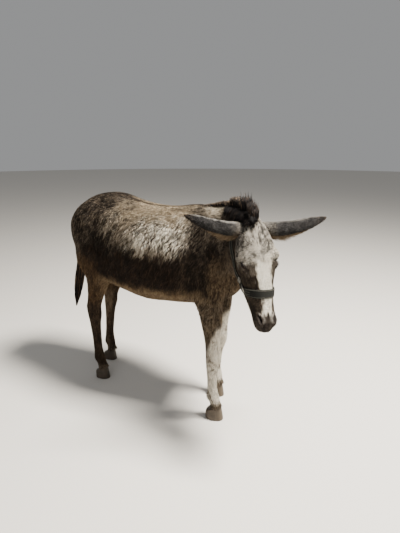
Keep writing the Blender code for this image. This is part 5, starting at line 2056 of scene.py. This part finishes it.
def round_the_head(tree, ends, middle, width, angles):
    """Places on a strap that lies in a plane round the head, and the way out at each: stations x lanes."""
    (ax, az), (bx, bz) = ends
    run = unit(np.array((bx - ax, 0, bz - az)))
    edge = np.array((-run[2], 0, run[0]))
    ways = np.outer(np.cos(angles), run) + np.outer(np.sin(angles), (0, 1, 0))
    place = np.empty((len(angles), STRAP_LANES, 3))
    for j, lane in enumerate(np.linspace(-0.5, 0.5, STRAP_LANES) * width):
        centre = np.array(middle) + edge * lane
        radii = np.array([np.linalg.norm(cast(tree, centre, way)[0] - centre) for way in ways])
        place[:, j] = centre + ways * hull_radius(angles, radii)[:, None]
    return place, np.repeat(ways[:, None], STRAP_LANES, axis=1)


def down_the_cheek(tree, path, width, s, count=60):
    """Places on a strap that lies on one side of the head along a path in x and z."""
    rows = smooth_rows([(x, 0.0, z) for x, z in path], count)
    run = unit(np.gradient(rows, axis=0))
    edge = np.stack([-run[:, 2], run[:, 0] * 0, run[:, 0]], 1)
    place = np.empty((count, STRAP_LANES, 3))
    outward = np.empty_like(place)
    for k in range(count):
        for j, lane in enumerate(np.linspace(-0.5, 0.5, STRAP_LANES) * width):
            place[k, j], outward[k, j] = cast(tree, rows[k] + edge[k] * lane, np.array((0, s, 0.0)))
    for _ in range(30):
        tight = place[:, :, 1] * s
        middle = tight.copy()
        middle[1:-1] = (tight[:-2] + tight[2:]) / 2
        place[:, :, 1] = s * np.maximum(tight, middle)
    for _ in range(6):
        outward[1:-1] = unit(outward[:-2] + outward[1:-1] + outward[2:])
    return place, outward


def strip_mesh(name, place, outward, closed):
    """A strap's solid strip, its long edges rounded and lighter, from places and ways out."""
    stations, lanes = place.shape[:2]
    lane = np.linspace(-1, 1, lanes)
    thickness = STRAP_INNER + (STRAP_OUTER - STRAP_INNER) * (1 - STRAP_ROUNDING * np.abs(lane) ** 12)
    over = place + outward * thickness[None, :, None]
    below = (place + outward * STRAP_INNER)[:, ::-1]
    rings = np.concatenate([over, below], axis=1)
    mesh = in_head(loft(name, rings, closed))
    edge = (np.abs(np.concatenate([lane, lane[::-1]])) > 0.75)[None, :, None]
    weave = noise(rings.reshape(-1, 3), 0.004, 20).reshape(stations, 2 * lanes, 1)
    colour = np.array(WEBBING) * (0.75 + 0.5 * weave) * np.where(edge, 1.25, 1.0)
    paint(mesh, colour.reshape(-1, 3))
    return mesh


def stitches(place, outward, closed, lanes=(1, 9)):
    """Rows of thread stitches along the strap: small bars that stand just out of the webbing."""
    long, half, thick = STITCH
    bars = []
    for lane in lanes:
        line = place[:, lane] + outward[:, lane] * (STRAP_OUTER - 0.0001)
        if closed:
            line = np.concatenate([line, line[:1]])
        steps = np.concatenate([[0], np.cumsum(np.linalg.norm(np.diff(line, axis=0), axis=1))])
        for start in np.arange(0.002, steps[-1] - 0.004, STITCH_STEP):
            ends = [rows_at(line, at, steps) for at in (start, start + long)]
            up = outward[min(len(place) - 1, int(np.searchsorted(steps, start))), lane]
            run = unit(ends[1] - ends[0])
            side = np.cross(up, run)
            square = np.outer((-1, 1, 1, -1), side * half) + np.outer((-1, -1, 1, 1), up * thick)
            push = run * STITCH_END
            bars.append(loft("stitch", [ends[0] + square - push, ends[1] + square + push]))
    return in_head(joined("stitches", bars))


def bent_bar(points, radius, closed=True, corners=10):
    """A round metal bar along a path of the head's frame."""
    points = np.array(points, float)
    if closed:
        ahead = unit(np.roll(points, -1, axis=0) - np.roll(points, 1, axis=0))
    else:
        ahead = unit(np.gradient(points, axis=0))
    flat = unit(np.linalg.svd(points - points.mean(0))[2][2])
    turn = np.linspace(0, 2 * math.pi, corners, endpoint=False)
    rings = []
    for point, run in zip(points, ahead):
        side = unit(np.cross(run, flat))
        rings.append(point + radius * (np.outer(np.cos(turn), side) + np.outer(np.sin(turn), flat)))
    return in_head(loft("bar", rings, closed))


def rounded_frame(centre, along, across, long, wide, corner=0.004, steps=5):
    """The path of a buckle's frame."""
    path = []
    for a, b, turn in ((1, 1, 0), (-1, 1, 1), (-1, -1, 2), (1, -1, 3)):
        for k in range(steps):
            angle = (turn + k / (steps - 1)) * math.pi / 2
            x = a * (long - corner) + corner * math.cos(angle)
            y = b * (wide - corner) + corner * math.sin(angle)
            path.append(centre + along * x + across * y)
    return path


def side_ring(tree, s):
    """The ring that joins noseband and cheek strap."""
    x, z = RING_PLACE
    hit, normal = cast(tree, np.array((x, 0.0, z)), np.array((0, s, 0.0)))
    up = np.array((-0.41, 0, 0.91))
    up = unit(up - normal * (up @ normal))
    turn = np.linspace(0, 2 * math.pi, 40, endpoint=False)
    circle = np.outer(np.cos(turn), up) + np.outer(np.sin(turn), np.cross(normal, up))
    return bent_bar(hit + normal * 0.0052 + RING_RADIUS * circle, RING_BAR)


def buckle(cheek):
    """A frame and a tongue on the middle lane of the cheek strap."""
    k, lane = BUCKLE_STATION, STRAP_LANES // 2
    line, outward = cheek[0][:, lane], cheek[1][k, lane]
    run = unit(line[k + 1] - line[k - 1])
    aside = unit(np.cross(outward, run))
    frame_path = rounded_frame(line[k] + outward * 0.0046, run, aside, *BUCKLE_SIZE)
    tongue = line[k] + outward * 0.0052 + np.outer(np.linspace(-0.0085, 0.0100, 8), run)
    # A bend far too small to see gives the tongue's path a plane of its own
    tongue = tongue + aside * 1e-5 * np.arange(8)[:, None] ** 2
    return [bent_bar(frame_path, FRAME_BAR), bent_bar(tongue, TONGUE_BAR, False, 8)]


def add_headcollar(tree):
    """Webbing straps pulled tight over the coat, with stitching, side rings and a buckle on each cheek.
    Gives what the hair under them is looked up in."""
    full_turn = np.linspace(0, 2 * math.pi, 132, endpoint=False)
    over = np.radians(np.linspace(-93, 93, 70))
    nose = round_the_head(tree, NOSEBAND, NOSEBAND_MIDDLE, NOSEBAND_WIDTH, full_turn)
    crown = round_the_head(tree, CROWN, CROWN_MIDDLE, CROWN_WIDTH, over)
    straps = {
        "noseband_webbing": (*nose, True, ("noseband",)),
        "crown_webbing": (*crown, False, ("crown_strap",)),
    }
    metal, thread = [], [stitches(*nose, True), stitches(*crown, False)]
    for side, s in SIDES:
        cheek = down_the_cheek(tree, CHEEK, CHEEK_WIDTH, s)
        straps[f"cheek_webbing_{side}"] = (*cheek, False, (f"cheek_strap_{side}",))
        thread.append(stitches(*cheek, False))
        metal += [side_ring(tree, s), *buckle(cheek)]
    for side, start, stop in FOLDS:
        lower, way = (part[start:stop] for part in nose)
        straps[f"noseband_fold_{side}"] = (lower + way * FOLD_RISE, way, False, ())
        thread.append(stitches(lower + way * FOLD_RISE, way, False, (1, 4, 7, 9)))
    grain = {"grain": 0.35, "grain_size": 1500.0, "bump": 0.6, "stretch": (1, 1, 1)}
    material = painted_material("webbing", 0.82, 0.12, **grain)
    strips = []
    for name, (place, outward, closed, replaced) in straps.items():
        strips.append(strip_mesh(name, place, outward, closed))
        finish_piece(name, with_modifier(strips[-1], "TRIANGULATE"), material, replaced)
    whole = joined("headcollar_stitching", thread)
    paint(whole, np.tile(THREAD, (len(whole.vertices), 1)))
    finish_piece("headcollar_stitching", whole, material)
    rings = joined("headcollar_metal", metal)
    rings.shade_smooth()
    finish_piece("headcollar_metal", rings, plain_material("metal", METAL, 0.32, 1.0))
    return tree_of(joined("straps", strips))


# ---------------------------------------------------------------- the donkey


LEG_PARTS = ("forearm", "fore_cannon", "fore_pastern", "gaskin", "hind_cannon", "hind_pastern")
LEG_NODES = [f"{part}_{side}" for side, _ in SIDES for part in LEG_PARTS]
FLESH_NODES = ("trunk", "neck", "head", "muzzle", "tail_dock", *LEG_NODES)


def build():
    outer = outer_surface()
    surface = tree_of(outer)
    skin = skin_from(outer)
    straps = add_headcollar(surface)
    add_body_coat(skin, straps)
    hair = painted_material("long_hair", 0.52, 0.07)
    add_mane(hair, surface)
    add_forelock(hair, surface)
    add_tail(hair)
    skin_paint = painted_material("skin", 0.80, 0.12, grain=0.22, grain_size=420.0, bump=0.5)
    add_ears(skin_paint, painted_material("fine_hair", 0.72, 0.07))
    add_eyeballs()
    add_lashes(hair)
    add_hooves()
    paint(skin, skin_colours(points_of(skin)))
    skin.shade_smooth()
    finish_piece("skin", skin, skin_paint, FLESH_NODES)


build()
add_camera()
add_studio()
